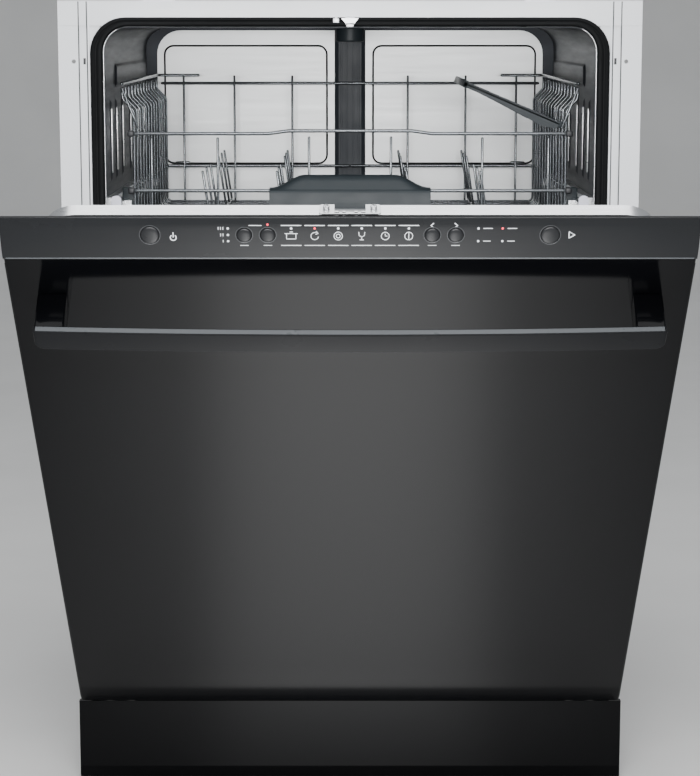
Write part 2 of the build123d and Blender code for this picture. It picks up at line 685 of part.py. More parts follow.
with BuildPart() as upper_rack_slides:
    for sign in (-1, 1):
        side_block(sign, (244, 250.5), (20, 486), (rail_z - 4.5, rail_z + 4.5))
        side_block(sign, (237.4, 244), (60, 90), (rail_z - 4, rail_z + 4))
        side_block(sign, (237.4, 244), (400, 430), (rail_z - 4, rail_z + 4))
keep(upper_rack_slides, "upper_rack_slides")

with BuildPart() as slide_end_caps:
    for sign in (-1, 1):
        side_block(sign, (243.5, 254), (10, 16.5), (rail_z - 14, rail_z + 12.5))
        side_block(sign, (244, 250.5), (16.5, 20), (rail_z - 4.5, rail_z + 4.5))
    fillet(slide_end_caps.edges().filter_by(Axis.Y).group_by(Axis.Z)[-1], 4.5)
keep(slide_end_caps, "slide_end_caps")

with BuildPart() as upper_feed_pipe:
    drum((0, arm_y, feed_z), BACK, 8, duct_face - 12 - arm_y)
    drum((0, arm_y, feed_z - 8), UP, 17, 18)
    drum((0, arm_y, feed_z - 26), UP, 5, 20)
    drum((0, arm_y, feed_z - 29), UP, 9, 4)
keep(upper_feed_pipe, "upper_feed_pipe")

shelf_hinge_x = 225.5
shelf_hinge_z = 729.5
shelf_angle = 23.0
shelf_length = 112.0
shelf_plane = Plane(
    origin=(shelf_hinge_x, rack_front + 5, shelf_hinge_z),
    x_dir=(-math.cos(math.radians(shelf_angle)), 0, math.sin(math.radians(shelf_angle))),
    z_dir=(0, 1, 0),
)
with BuildPart() as cup_shelf:
    with BuildSketch(shelf_plane):
        Circle(3.4)
        with Locations((shelf_length / 2, 0)):
            Rectangle(shelf_length, 3)
        with Locations((shelf_length, -1)):
            Rectangle(3, 7)
    extrude(amount=208)
keep(cup_shelf, "cup_shelf")


# ---------------------------------------------------------------- spray arms
def spray_arm(z, thickness):
    """Two-bladed arm that tapers towards its rounded tips, with nozzles and a bored hub."""
    with BuildSketch(Plane.XY.offset(z)) as plan:
        with Locations((0, arm_y)):
            Circle(24)
            with GridLocations(400, 1, 2, 1):
                Circle(15)
        with BuildLine():
            Polyline(
                (-200, arm_y - 15), (0, arm_y - 22), (200, arm_y - 15),
                (200, arm_y + 15), (0, arm_y + 22), (-200, arm_y + 15), close=True,
            )
        make_face()
    extrude(plan.sketch, amount=thickness)
    drum((0, arm_y, z - 1), UP, 5.06, thickness + 4, Mode.SUBTRACT)
    with Locations((0, arm_y, z + thickness)):
        with GridLocations(52, 1, 8, 1):
            Cylinder(1.8, 6, mode=Mode.SUBTRACT)


with BuildPart() as upper_spray_arm:
    spray_arm(feed_z - 24.5, 14)
keep(upper_spray_arm, "upper_spray_arm")

with BuildPart() as lower_spray_arm:
    spray_arm(basin_floor + 44, 15)
keep(lower_spray_arm, "lower_spray_arm")

# ---------------------------------------------------------------- lower rack
lower_rim_x = lower_half + 3
lower_cross_z = lower_floor + 2 * thin_wire + gap
lower_floor_xs = spread(-lower_half + 8, lower_half - 8, 14)
lower_cross_ys = spread(52, 462, 9)
with BuildPart() as lower_rack_frame:
    for z in (lower_mid, lower_rim):
        rods([(-lower_rim_x, rack_front, z), (-lower_rim_x, rack_back, z)], RIGHT, 2 * lower_rim_x, wire)
        rods([(-lower_half - thin_wire - wire - gap, rim_start, z),
              (lower_half + thin_wire + wire + gap, rim_start, z)], BACK, rim_run, wire)
    wall_z = lower_floor + thin_wire + gap
    wall_height = lower_rim - wall_z
    rods([(sign * lower_half, y, wall_z) for sign in (-1, 1) for y in spread(50, 464, 9)],
         UP, wall_height, thin_wire)
    inner_front = rack_front + wire + thin_wire + gap
    inner_back = rack_back - wire - thin_wire - gap
    rods([(x, y, wall_z) for x in spread(-200, 200, 8) for y in (inner_front, inner_back)],
         UP, wall_height, thin_wire)
    rods([(x, rack_front + 8, lower_floor) for x in lower_floor_xs], BACK,
         rack_back - rack_front - 16, thin_wire)
    rods([(-lower_half + 4, y, lower_cross_z) for y in lower_cross_ys], RIGHT, 2 * lower_half - 8, thin_wire)
    # wheel carriers with their axle stubs
    for sign in (-1, 1):
        for y in wheel_places.values():
            side_block(sign, (237.5, 240), (y - 8, y + 8), (wheel_z - 7, lower_floor + 12))
            drum((sign * 240, y, wheel_z), (sign, 0, 0), 3, 10)
keep(lower_rack_frame, "lower_rack_frame")

with BuildPart() as lower_rack_tines:
    for x in (-190, -125, -60, 5, 70):
        rods([(x, y, lower_cross_z + thin_wire + 0.3) for y in lower_cross_ys], (-0.12, 0, 1), 78, thin_wire)
keep(lower_rack_tines, "lower_rack_tines")

for place, y in wheel_places.items():
    with BuildPart() as wheel_pair:
        for sign in (-1, 1):
            drum((sign * 240.6, y, wheel_z), (sign, 0, 0), wheel_radius, 8)
            drum((sign * 248.6, y, wheel_z), (sign, 0, 0), 9, 2.6)
            drum((sign * 240.6, y, wheel_z), (sign, 0, 0), 3.05, 10, Mode.SUBTRACT)
    keep(wheel_pair, f"lower_rack_{place}_wheels")

basket_x = (142.0, 222.0)
basket_y = (66.0, 296.0)
basket_z = (lower_cross_z + thin_wire + 0.3, 350.0)
with BuildPart() as silverware_basket:
    block(basket_x, basket_y, basket_z)
    cell_depth = (basket_y[1] - basket_y[0] - 5 * 2.4) / 4
    for row in range(4):
        start = basket_y[0] + 2.4 + row * (cell_depth + 2.4)
        block((basket_x[0] + 2.4, basket_x[1] - 2.4), (start, start + cell_depth),
              (basket_z[0] + 2.4, basket_z[1] + 1), Mode.SUBTRACT)
    basket_middle = (basket_x[0] + basket_x[1]) / 2
    for y in (basket_y[0] + 55.9, basket_y[1] - 55.9):
        block((basket_middle - 5, basket_middle + 5), (y - 3.5, y + 3.5), (300, 398))
    block((basket_middle - 6, basket_middle + 6), (basket_y[0] + 52.4, basket_y[1] - 52.4), (388, 400))
keep(silverware_basket, "silverware_basket")
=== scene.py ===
"""Looks for a built-in dishwasher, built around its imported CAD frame.

The frame is in metres, +Z up, and the door opens towards -Y. Pieces are drawn in millimetres.
"""
import json
import math

import bmesh
import bpy
from mathutils import Matrix, Vector


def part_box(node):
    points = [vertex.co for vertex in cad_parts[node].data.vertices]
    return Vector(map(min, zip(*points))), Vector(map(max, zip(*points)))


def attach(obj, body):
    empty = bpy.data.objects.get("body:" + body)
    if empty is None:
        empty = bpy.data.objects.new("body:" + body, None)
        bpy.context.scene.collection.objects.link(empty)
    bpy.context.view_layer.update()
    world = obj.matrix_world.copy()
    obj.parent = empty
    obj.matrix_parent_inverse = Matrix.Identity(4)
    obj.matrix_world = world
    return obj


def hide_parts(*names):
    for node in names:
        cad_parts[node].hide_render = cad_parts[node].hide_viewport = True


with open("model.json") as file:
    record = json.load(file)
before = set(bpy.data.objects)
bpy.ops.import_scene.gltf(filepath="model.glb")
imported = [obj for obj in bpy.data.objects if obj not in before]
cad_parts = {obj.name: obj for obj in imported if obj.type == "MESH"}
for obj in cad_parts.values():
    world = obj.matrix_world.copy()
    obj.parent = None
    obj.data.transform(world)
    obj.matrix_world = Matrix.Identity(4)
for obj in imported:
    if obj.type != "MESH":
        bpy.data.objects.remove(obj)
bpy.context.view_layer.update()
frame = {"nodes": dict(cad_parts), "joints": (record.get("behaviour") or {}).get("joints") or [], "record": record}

MM = 0.001
nodes = frame["nodes"]
joints = {j["name"]: j for j in frame["joints"]}
node_slot = {s["node"]: s["material_slot"] for s in frame["record"]["subparts"]}

# The door is drawn closed and then swung about its hinge to the rest pose.
hinge = Vector(joints["door_hinge"]["pos_m"])
rest_angle = -math.radians(joints["door_hinge"]["range_deg"][0])
SWING = Matrix.Translation(hinge) @ Matrix.Rotation(rest_angle, 4, "X") @ Matrix.Translation(-hinge)
STILL = Matrix.Identity(4)


# ---------------------------------------------------------------- camera, light and floor
def make_camera():
    """The camera stands in front of the door, level with its top, and looks slightly down."""
    data = bpy.data.cameras.new("camera")
    camera = bpy.data.objects.new("camera", data)
    bpy.context.scene.collection.objects.link(camera)
    camera.location = (0, -2.3257, 0.8307)
    camera.rotation_euler = (math.radians(90 - 9.29), 0, 0)
    data.sensor_width = 36
    data.lens = 101.83
    data.clip_start = 0.05
    bpy.context.scene.camera = camera


def area_light(name, place, target, size, power):
    """A rectangular light that shines from place towards target."""
    data = bpy.data.lights.new(name, "AREA")
    data.shape = "RECTANGLE"
    data.size, data.size_y = size
    data.energy = power
    light = bpy.data.objects.new(name, data)
    bpy.context.scene.collection.objects.link(light)
    light.location = place
    light.rotation_euler = (Vector(target) - Vector(place)).to_track_quat("-Z", "Y").to_euler()
    light.visible_camera = False
    return light


def make_stage():
    """Pale floor that curves up into a low wall all round, so that no horizon shows."""
    flat, bend, top, steps = 5.0, 1.6, 3.4, 96
    turns = [math.pi / 2 * i / 12 for i in range(1, 13)]
    profile = [(0.02, 0.0), (flat, 0.0)]
    profile += [(flat + bend * math.sin(a), bend - bend * math.cos(a)) for a in turns]
    profile.append((flat + bend, top))
    verts = [(r * math.cos(2 * math.pi * i / steps), r * math.sin(2 * math.pi * i / steps), z)
             for r, z in profile for i in range(steps)]
    faces = []
    for inner in range(0, (len(profile) - 1) * steps, steps):
        outer = inner + steps
        for i in range(steps):
            j = (i + 1) % steps
            faces.append((inner + i, outer + i, outer + j, inner + j))
    faces.append(tuple(range(steps)))
    mesh = bpy.data.meshes.new("floor")
    mesh.from_pydata(verts, [], faces)
    mesh.shade_smooth()
    floor = bpy.data.objects.new("floor", mesh)
    bpy.context.scene.collection.objects.link(floor)
    mesh.materials.append(surface("pale_floor", (0.75, 0.75, 0.74), 0.6, vary=0.03, vary_scale=3))
    world = bpy.data.worlds.new("studio")
    world.use_nodes = True
    world.node_tree.nodes["Background"].inputs["Color"].default_value = (0.8, 0.82, 0.85, 1)
    world.node_tree.nodes["Background"].inputs["Strength"].default_value = 0.6
    bpy.context.scene.world = world


def soften(light, power):
    """A graded softbox: it fades to nothing at its long edges, and grows weaker towards the cabinet."""
    light.data.use_nodes = True
    tree = light.data.node_tree
    where = tree.nodes.new("ShaderNodeNewGeometry")
    across = tree.nodes.new("ShaderNodeSeparateXYZ")
    tree.links.new(where.outputs["Parametric"], across.inputs["Vector"])
    curve = tree.nodes.new("ShaderNodeFloatCurve")
    points = curve.mapping.curves[0].points
    points[0].location, points[1].location = (0, 0), (1, 0)
    points.new(0.25, 0.32)
    points.new(0.5, 1.0)
    points.new(0.75, 0.32)
    curve.mapping.update()
    tree.links.new(across.outputs["X"], curve.inputs["Value"])
    along = tree.nodes.new("ShaderNodeSeparateXYZ")
    tree.links.new(where.outputs["Position"], along.inputs["Vector"])
    fade = tree.nodes.new("ShaderNodeMapRange")
    fade.inputs["From Min"].default_value = -0.48
    fade.inputs["From Max"].default_value = 0.0
    fade.inputs["To Min"].default_value = power
    fade.inputs["To Max"].default_value = 0.3 * power
    tree.links.new(along.outputs["Y"], fade.inputs["Value"])
    both = tree.nodes.new("ShaderNodeMath")
    both.operation = "MULTIPLY"
    tree.links.new(curve.outputs["Value"], both.inputs[0])
    tree.links.new(fade.outputs["Result"], both.inputs[1])
    tree.links.new(both.outputs["Value"], tree.nodes["Emission"].inputs["Strength"])


def make_lights():
    """Soft light from above and in front, a narrow one into the tub, and a strip under the door."""
    area_light("overhead", (0, -0.6, 2.6), (0, 0.1, 0.4), (2.4, 1.6), 48)
    area_light("front_fill", (0, -3.0, 1.7), (0, 0.2, 0.75), (1.4, 1.0), 32)
    area_light("tub_light", (0, -1.0, 0.80), (0, 0.5, 0.76), (0.7, 0.12), 10)
    # low graded strip whose broad reflection runs down the middle of the door
    strip = area_light("door_strip", (0, -0.7, 0.012), (0, -0.7, 1), (0.85, 1.45), 33)
    soften(strip, 1.0)


# ---------------------------------------------------------------- materials
def shader(name):
    """A new material with its node tree and its main shader."""
    made = bpy.data.materials.new(name)
    made.use_nodes = True
    tree = made.node_tree
    return made, tree, tree.nodes["Principled BSDF"]


def noise(tree, scale, detail=3, stretch=(1, 1, 1)):
    """Noise in object space, in metres; stretch thins it along an axis."""
    place = tree.nodes.new("ShaderNodeTexCoord")
    mapping = tree.nodes.new("ShaderNodeMapping")
    mapping.inputs["Scale"].default_value = stretch
    texture = tree.nodes.new("ShaderNodeTexNoise")
    texture.inputs["Scale"].default_value = scale
    texture.inputs["Detail"].default_value = detail
    tree.links.new(place.outputs["Object"], mapping.inputs["Vector"])
    tree.links.new(mapping.outputs["Vector"], texture.inputs["Vector"])
    return texture.outputs["Fac"]


def ramp(tree, fac, dark, light, low=0.35, high=0.65):
    """A colour ramp from dark to light over the middle of a noise."""
    made = tree.nodes.new("ShaderNodeValToRGB")
    made.color_ramp.elements[0].position = low
    made.color_ramp.elements[1].position = high
    made.color_ramp.elements[0].color = (*dark, 1)
    made.color_ramp.elements[1].color = (*light, 1)
    tree.links.new(fac, made.inputs["Fac"])
    return made.outputs["Color"]


def span(tree, fac, low, high):
    """The middle of a noise, stretched between two values."""
    made = tree.nodes.new("ShaderNodeMapRange")
    made.inputs["From Min"].default_value = 0.3
    made.inputs["From Max"].default_value = 0.7
    made.inputs["To Min"].default_value = low
    made.inputs["To Max"].default_value = high
    tree.links.new(fac, made.inputs["Value"])
    return made.outputs["Result"]


def surface(name, colour, rough, metal=0.0, coat=0.0, vary=0.06, vary_scale=12, grain=0.0,
            grain_scale=600, stretch=(1, 1, 1), rough_vary=0.04, specular=0.5):
    """A finish with uneven colour, uneven gloss and a fine grain that the light catches."""
    made, tree, bsdf = shader(name)
    bsdf.inputs["Metallic"].default_value = metal
    bsdf.inputs["Coat Weight"].default_value = coat
    bsdf.inputs["Coat Roughness"].default_value = 0.08
    bsdf.inputs["Specular IOR Level"].default_value = specular
    dark = [c * (1 - vary) for c in colour]
    light = [min(1, c * (1 + vary)) for c in colour]
    tree.links.new(ramp(tree, noise(tree, vary_scale, 4, stretch), dark, light), bsdf.inputs["Base Color"])
    fine = noise(tree, grain_scale, 2, stretch)
    tree.links.new(span(tree, noise(tree, vary_scale * 5, 5, stretch), rough - rough_vary,
                        rough + rough_vary),
                   bsdf.inputs["Roughness"])
    if grain:
        bump = tree.nodes.new("ShaderNodeBump")
        bump.inputs["Strength"].default_value = grain
        bump.inputs["Distance"].default_value = 0.0004
        tree.links.new(fine, bump.inputs["Height"])
        tree.links.new(bump.outputs["Normal"], bsdf.inputs["Normal"])
    return made


def glow(name, colour, strength):
    """A lit lamp with a slightly uneven colour."""
    made, tree, bsdf = shader(name)
    mix = ramp(tree, noise(tree, 900), [c * 0.7 for c in colour], colour)
    tree.links.new(mix, bsdf.inputs["Base Color"])
    tree.links.new(mix, bsdf.inputs["Emission Color"])
    bsdf.inputs["Emission Strength"].default_value = strength
    bsdf.inputs["Roughness"].default_value = 0.25
    return made


FINISHES = {
    "black_enamel": dict(colour=(0.0015, 0.0016, 0.002), rough=0.11, specular=0.08, grain=0.01,
                         grain_scale=1400,
                         vary_scale=4, rough_vary=0.01),
    "black_gloss": dict(colour=(0.02, 0.0215, 0.024), rough=0.36, grain=0.1, grain_scale=3000,
                        vary_scale=6),
    "stainless": dict(colour=(0.6, 0.61, 0.62), rough=0.3, metal=1.0, grain=0.12, grain_scale=260,
                      stretch=(0.6, 1, 14), vary=0.05),
    "zinc_steel": dict(colour=(0.52, 0.53, 0.54), rough=0.38, metal=1.0, vary=0.16, vary_scale=60,
                       grain=0.1),
    "spring_steel": dict(colour=(0.3, 0.3, 0.31), rough=0.34, metal=1.0, vary=0.12, vary_scale=80,
                         grain=0.08),
    "white_enamel": dict(colour=(0.78, 0.8, 0.83), rough=0.36, coat=0.2, vary=0.02, vary_scale=5,
                         grain=0.06,
                         grain_scale=1600),
    "black_rubber": dict(colour=(0.004, 0.0045, 0.005), rough=0.65, specular=0.12, grain=0.25,
                         grain_scale=900, vary=0.2),
    "slate_plastic": dict(colour=(0.02, 0.026, 0.03), rough=0.42, specular=0.22, grain=0.2,
                          grain_scale=1900, vary=0.05),
    "dark_plastic": dict(colour=(0.022, 0.023, 0.026), rough=0.5, grain=0.25, grain_scale=1700, vary=0.1),
    "pale_plastic": dict(colour=(0.55, 0.57, 0.59), rough=0.45, grain=0.2, grain_scale=1700, vary=0.04),
    "white_plastic": dict(colour=(0.66, 0.67, 0.76), rough=0.35, grain=0.15, grain_scale=1800, vary=0.03),
    "coated_wire": dict(colour=(0.12, 0.13, 0.14), rough=0.24, metal=0.75, coat=0.4, vary=0.04,
                        vary_scale=40,
                        rough_vary=0.02),
    "bitumen_felt": dict(colour=(0.045, 0.045, 0.05), rough=0.85, grain=0.9, grain_scale=420, vary=0.35,
                         vary_scale=90),
    "circuit_board": dict(colour=(0.02, 0.12, 0.05), rough=0.4, coat=0.3, grain=0.2, grain_scale=500,
                          vary=0.3,
                          vary_scale=220),
    "clear_lens": dict(colour=(0.55, 0.57, 0.6), rough=0.2, grain=0.1, vary=0.05, vary_scale=300),
}
finish = {slot: surface(slot, **values) for slot, values in FINISHES.items()}

# A paler, less metallic copy of the tub's steel for the back panels: their satin finish, with painted light where
# the light falls on the back wall.
LIGHT_PAINTED_STEEL = surface("light_painted_steel", (0.74, 0.755, 0.76), 0.42, metal=0.55, grain=0.08, grain_scale=300,
                     stretch=(0.5, 1, 10), vary=0.02, vary_scale=4, rough_vary=0.02)
# The tub's own steel painted dark: painted shade for the tub shell and its side walls, which the light barely
# reaches.
SHADE_PAINTED_STEEL = surface("shade_painted_steel", (0.035, 0.038, 0.044), 0.42, metal=0.3, specular=0.12, grain=0.08,
                     grain_scale=300,
                     stretch=(1, 0.5, 8), vary=0.08, vary_scale=5)
DUCT = surface("duct_plastic", (0.035, 0.041, 0.05), 0.42, specular=0.25, grain=0.15, grain_scale=1900,
               vary=0.05)
FASCIA = surface("fascia_plastic", (0.008, 0.0086, 0.0095), 0.24, specular=0.13, grain=0.03,
                 grain_scale=2500, vary=0.03, vary_scale=4)
BUTTON = surface("button_plastic", (0.009, 0.0095, 0.0105), 0.3, specular=0.22, grain=0.03,
                 grain_scale=2500)
PRINT = surface("pale_print", (0.62, 0.64, 0.66), 0.55, vary=0.03, vary_scale=500)
# Paler plastic for the fascia's lower edge: a painted highlight along its rounded edge.
EDGE = surface("edge_highlight_plastic", (0.06, 0.065, 0.07), 0.35, specular=0.3, grain=0.05, grain_scale=2500)
BAR = surface("bar_enamel", (0.0065, 0.0068, 0.0075), 0.3, specular=0.04, grain=0.01, vary_scale=4)
# Paler enamel for the top of the grip bar: a painted highlight on its upper face.
CROWN_HIGHLIGHT = surface("bar_crown_highlight", (0.07, 0.075, 0.08), 0.3, specular=0.4, grain=0.02, vary_scale=4)
RED = glow("red_lamp", (0.85, 0.03, 0.06), 1.6)
OWN_FINISH = {"tub_shell": SHADE_PAINTED_STEEL, "rear_feed_duct": DUCT, "control_fascia": FASCIA}


def dress_cad():
    """Give every CAD node its own finish, or its material slot's."""
    for name, part in nodes.items():
        part.data.materials.clear()
        part.data.materials.append(OWN_FINISH.get(name) or finish[node_slot[name]])


# ---------------------------------------------------------------- shared makers, in millimetres
SCALE = Matrix.Scale(MM, 4)


def mesh_of(verts, faces, sharp=35):
    """Smooth-shaded mesh whose edges stay crisp above an angle."""
    data = bpy.data.meshes.new("piece")
    data.from_pydata([tuple(v) for v in verts], [], faces)
    work = bmesh.new()
    work.from_mesh(data)
    bmesh.ops.recalc_face_normals(work, faces=work.faces)
    work.to_mesh(data)
    work.free()
    data.shade_smooth()
    data.set_sharp_from_angle(angle=math.radians(sharp))
    return data


def add_piece(name, data, slot_name, body, place=STILL, replaces=(), material=None):
    """Put a finished mesh on a body, with the finish of one of the record's slots."""
    data.name = name
    data.transform(place @ SCALE)
    data.materials.append(material or finish[slot_name])
    piece = bpy.data.objects.new(name, data)
    bpy.context.scene.collection.objects.link(piece)
    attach(piece, body)
    if replaces:
        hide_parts(*replaces)


def metres(place):
    """A placement drawn in millimetres, turned into one in metres."""
    made = place.copy()
    made.translation = place.translation * MM
    return made

def node_box(node):
    """A node's lowest and highest corners."""
    low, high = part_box(node)
    return low / MM, high / MM


def as_mesh(curve):
    """The surface of a curve, as a mesh of its own."""
    holder = bpy.data.objects.new("holder", curve)
    bpy.context.scene.collection.objects.link(holder)
    bpy.context.view_layer.update()
    data = bpy.data.meshes.new_from_object(holder.evaluated_get(bpy.context.evaluated_depsgraph_get()))
    bpy.data.objects.remove(holder)
    data.shade_smooth()
    data.set_sharp_from_angle(angle=math.radians(40))
    return data


def rounded(points, bend, steps=5):
    """A path whose corners are arcs."""
    line = [points[0]]
    for before, corner, after in zip(points, points[1:], points[2:]):
        back, ahead = before - corner, after - corner
        turn = math.pi - back.angle(ahead)
        if turn < 0.05:
            line.append(corner)
            continue
        reach = min(bend * math.tan(turn / 2), 0.45 * back.length, 0.45 * ahead.length)
        start, end = corner + back.normalized() * reach, corner + ahead.normalized() * reach
        for i in range(steps + 1):
            t = i / steps
            line.append(start.lerp(corner, t).lerp(corner.lerp(end, t), t))
    line.append(points[-1])
    return line


def wires(paths, radius, bend=6.0, closed=False):
    """Bent round wires with domed ends."""
    curve = bpy.data.curves.new("path", "CURVE")
    curve.dimensions = "3D"
    curve.bevel_depth = radius
    curve.bevel_resolution = 3
    curve.use_fill_caps = True
    for path in paths:
        line = rounded([Vector(p) for p in path], bend)
        sizes = [1.0] * len(line)
        if not closed:
            first, last = (line[1] - line[0]).normalized(), (line[-2] - line[-1]).normalized()
            dome = [(0.0, 0.12), (0.13, 0.5), (0.5, 0.87), (1.0, 1.0)]
            head = [line[0] + first * radius * depth for depth, _ in dome]
            tail = [line[-1] + last * radius * depth for depth, _ in reversed(dome)]
            sizes = [s for _, s in dome] + sizes[1:-1] + [s for _, s in reversed(dome)]
            line = head + line[1:-1] + tail
        spline = curve.splines.new("POLY")
        spline.points.add(len(line) - 1)
        spline.use_cyclic_u = closed
        for knot, point, size in zip(spline.points, line, sizes):
            knot.co = (*point, 1)
            knot.radius = size
    return as_mesh(curve)


def filled(outlines, thickness, soft=0.25, rear=0.0):
    """An upright flat plate with softened edges: outlines are (x, z), and it grows towards -Y from rear."""
    curve = bpy.data.curves.new("path", "CURVE")
    curve.dimensions = "2D"
    curve.fill_mode = "BOTH"
    curve.extrude = thickness / 2 - soft
    curve.bevel_depth = soft
    curve.offset = -soft
    for outline in outlines:
        spline = curve.splines.new("POLY")
        spline.points.add(len(outline) - 1)
        spline.use_cyclic_u = True
        for knot, point in zip(spline.points, outline):
            knot.co = (point[0], point[1], 0, 1)
    data = as_mesh(curve)
    data.transform(Matrix.Translation((0, rear - thickness / 2, 0)) @ Matrix.Rotation(math.pi / 2, 4, "X"))
    return data


def rounded_box(half_x, low, high, corner, middle=0.0, steps=6):
    """Outline of an upright rectangle with four rounded corners."""
    line = []
    for quarter, (sx, sz) in enumerate(((1, 1), (-1, 1), (-1, -1), (1, -1))):
        centre = (middle + sx * (half_x - corner), (high if sz > 0 else low) - sz * corner)
        for i in range(steps + 1):
            angle = math.pi / 2 * (quarter + i / steps)
            line.append((centre[0] + corner * math.cos(angle), centre[1] + corner * math.sin(angle)))
    return line


def loft(rings):
    """A skin over rings of equally many points, closed at both ends."""
    count = len(rings[0])
    verts = [point for ring in rings for point in ring]
    faces = []
    for low in range(0, len(verts) - count, count):
        for j in range(count):
            k = (j + 1) % count
            faces.append((low + j, low + k, low + count + k, low + count + j))
    faces += [tuple(range(count)), tuple(reversed(range(len(verts) - count, len(verts))))]
    return verts, faces

def lathe(profile, centre, axis, steps=40):
    """A turned piece: profile is (radius, distance along the axis from centre)."""
    turn = Vector(axis).normalized().to_track_quat("Z", "Y").to_matrix().to_4x4()
    place = Matrix.Translation(centre) @ turn
    angles = [2 * math.pi * i / steps for i in range(steps)]
    return loft([[place @ Vector((radius * math.cos(a), radius * math.sin(a), along)) for a in angles]
                 for radius, along in profile])

def join(parts):
    """Several (verts, faces) lists as one."""
    verts, faces = [], []
    for part_verts, part_faces in parts:
        start = len(verts)
        verts += part_verts
        faces += [tuple(start + i for i in face) for face in part_faces]
    return verts, faces


def boxes(spans, soft=0.6):
    """Boxes with bevelled edges; each span is ((x0, x1), (y0, y1), (z0, z1))."""
    work = bmesh.new()
    for xs, ys, zs in spans:
        corners = [work.verts.new((x, y, z)) for x in xs for y in ys for z in zs]
        for face in ((0, 1, 3, 2), (4, 6, 7, 5), (0, 4, 5, 1), (2, 3, 7, 6), (0, 2, 6, 4), (1, 5, 7, 3)):
            work.faces.new([corners[i] for i in face])
    bmesh.ops.recalc_face_normals(work, faces=work.faces)
    bmesh.ops.bevel(work, geom=work.edges[:], offset=soft, segments=2, affect="EDGES", profile=0.5)
    data = bpy.data.meshes.new("piece")
    work.to_mesh(data)
    work.free()
    data.shade_smooth()
    data.set_sharp_from_angle(angle=math.radians(50))
    return data


def spread(first, last, count):
    """Evenly spaced values from first to last."""
    return [first + (last - first) * i / (count - 1) for i in range(count)]


def side_span(side, near, far):
    """The span from near to far on one side of the middle, low end first."""
    return tuple(sorted((side * near, side * far)))

def screws(name, places, axis, radius, body, place=STILL):
    """Domed screw heads with a sunk drive."""
    profile = [(radius, 0), (radius, 0.35 * radius), (0.8 * radius, 0.62 * radius),
               (0.45 * radius, 0.72 * radius),
               (0.4 * radius, 0.2 * radius), (0.02, 0.15 * radius)]
    data = mesh_of(*join([lathe(profile, p, axis, 24) for p in places]))
    add_piece(name, data, "zinc_steel", body, place)


# ---------------------------------------------------------------- tub, seal and white frame
TUB_HALF = 260.0
TUB_BACK = 510.0
TUB_TOP = 832.0
RIB_PLACES = (70, 125, 190, 280, 370, 450)
SIDES = (("left", -1), ("right", 1))


def bump_rise(distance, width):
    """Smooth raised ridge: 1 on its line, 0 beyond its width."""
    t = max(0.0, 1 - abs(distance) / width)
    return t * t * (3 - 2 * t)


def side_wall(sign):
    """Pressed side sheet with upright ribs that stop short of the rails, and a long band near the top."""
    ys = sorted(set(spread(3, TUB_BACK - 2, 60) + [y + d for y in RIB_PLACES
                                                   for d in (-5, -3.4, -1.7, 0, 1.7, 3.4, 5)]))
    zs = sorted(set(spread(186, TUB_TOP - 29, 54) + [z + d for z in (771, 789)
                                                     for d in (-6, -4, -2, 0, 2, 4, 6)]
                    + [224, 227, 230, 616, 619, 622, 664, 667, 670, 752, 755, 758]))
    verts = []
    for y in ys:
        for z in zs:
            inside = 1.0 if 227 < z < 619 or 667 < z < 755 else 0.0
            rib = inside * max(bump_rise(y - at, 5) for at in RIB_PLACES)
            band = 0.0
            if 125 <= y <= 490:
                band = 1.0 if 772 < z < 788 else max(bump_rise(z - 771, 4), bump_rise(z - 789, 4))
            verts.append((sign * (TUB_HALF - 0.15 - 1.7 * rib - 2.2 * band), y, z))
    rows = len(zs)
    faces = [(i * rows + j, i * rows + j + 1, (i + 1) * rows + j + 1, (i + 1) * rows + j)
             for i in range(len(ys) - 1) for j in range(rows - 1)]
    return verts, faces


def make_tub():
    """Pressed side sheets in steel painted dark as shade, back panels in a paler satin steel that carries painted
    light, black strips of painted shade in their grooves, and the ribs of the rear duct.
    """
    walls = mesh_of(*join([side_wall(-1), side_wall(1)]), sharp=60)
    # The side sheets wear the dark steel: painted shade on the side walls.
    add_piece("tub_side_pressings", walls, "stainless", "cabinet", material=SHADE_PAINTED_STEEL)
    reach = TUB_HALF - 1.6
    ribs = [[(s * reach, y, low), (s * reach, y, high)] for s in (-1, 1) for y in RIB_PLACES
            for low, high in ((238, 608), (676, 746))]
    add_piece("tub_side_ribs", wires(ribs, 1.5), "stainless", "cabinet")
    duct_gap, middle, edge, corner = 19.5, 133, 246, 30
    top, bottom, rear = 829, 212, TUB_BACK - 0.1
    # Back panels and their fields in the pale steel, partly painted light.
    for side, sign in SIDES:
        outer = [(sign * duct_gap, bottom), (sign * duct_gap, top)]
        outer += [(sign * (edge - corner + corner * math.sin(a)), top - corner + corner * math.cos(a))
                  for a in spread(0, math.pi / 2, 9)]
        outer += [(sign * edge, bottom)]
        hole = rounded_box(104.6, 659, 810.6, 12, sign * middle)
        add_piece(f"tub_back_panel_{side}", filled([outer, hole], 1.6, rear=rear), "stainless", "cabinet",
                  material=LIGHT_PAINTED_STEEL)
        field = rounded_box(102.4, 661.2, 808.4, 10, sign * middle)
        add_piece(f"tub_back_field_{side}", filled([field], 1.6, rear=rear), "stainless", "cabinet",
                  material=LIGHT_PAINTED_STEEL)
    for side, sign in SIDES:
        # Black strips in the grooves around the back fields: painted shade in the pressed steps.
        groove = [rounded_box(105, 658.6, 811, 12.4, sign * middle),
                  rounded_box(102, 661.6, 808, 9.6, sign * middle)]
        add_piece(f"tub_back_groove_shade_{side}", filled(groove, 1.2, 0.1, rear), "black_rubber", "cabinet")
    hem = filled([rounded_box(1.2, 215, 823, 1, x) for x in (-11, -4, 4, 11)], 1.4, 0.3, 496.4)
    add_piece("duct_ribs", hem, "slate_plastic", "cabinet", material=DUCT)


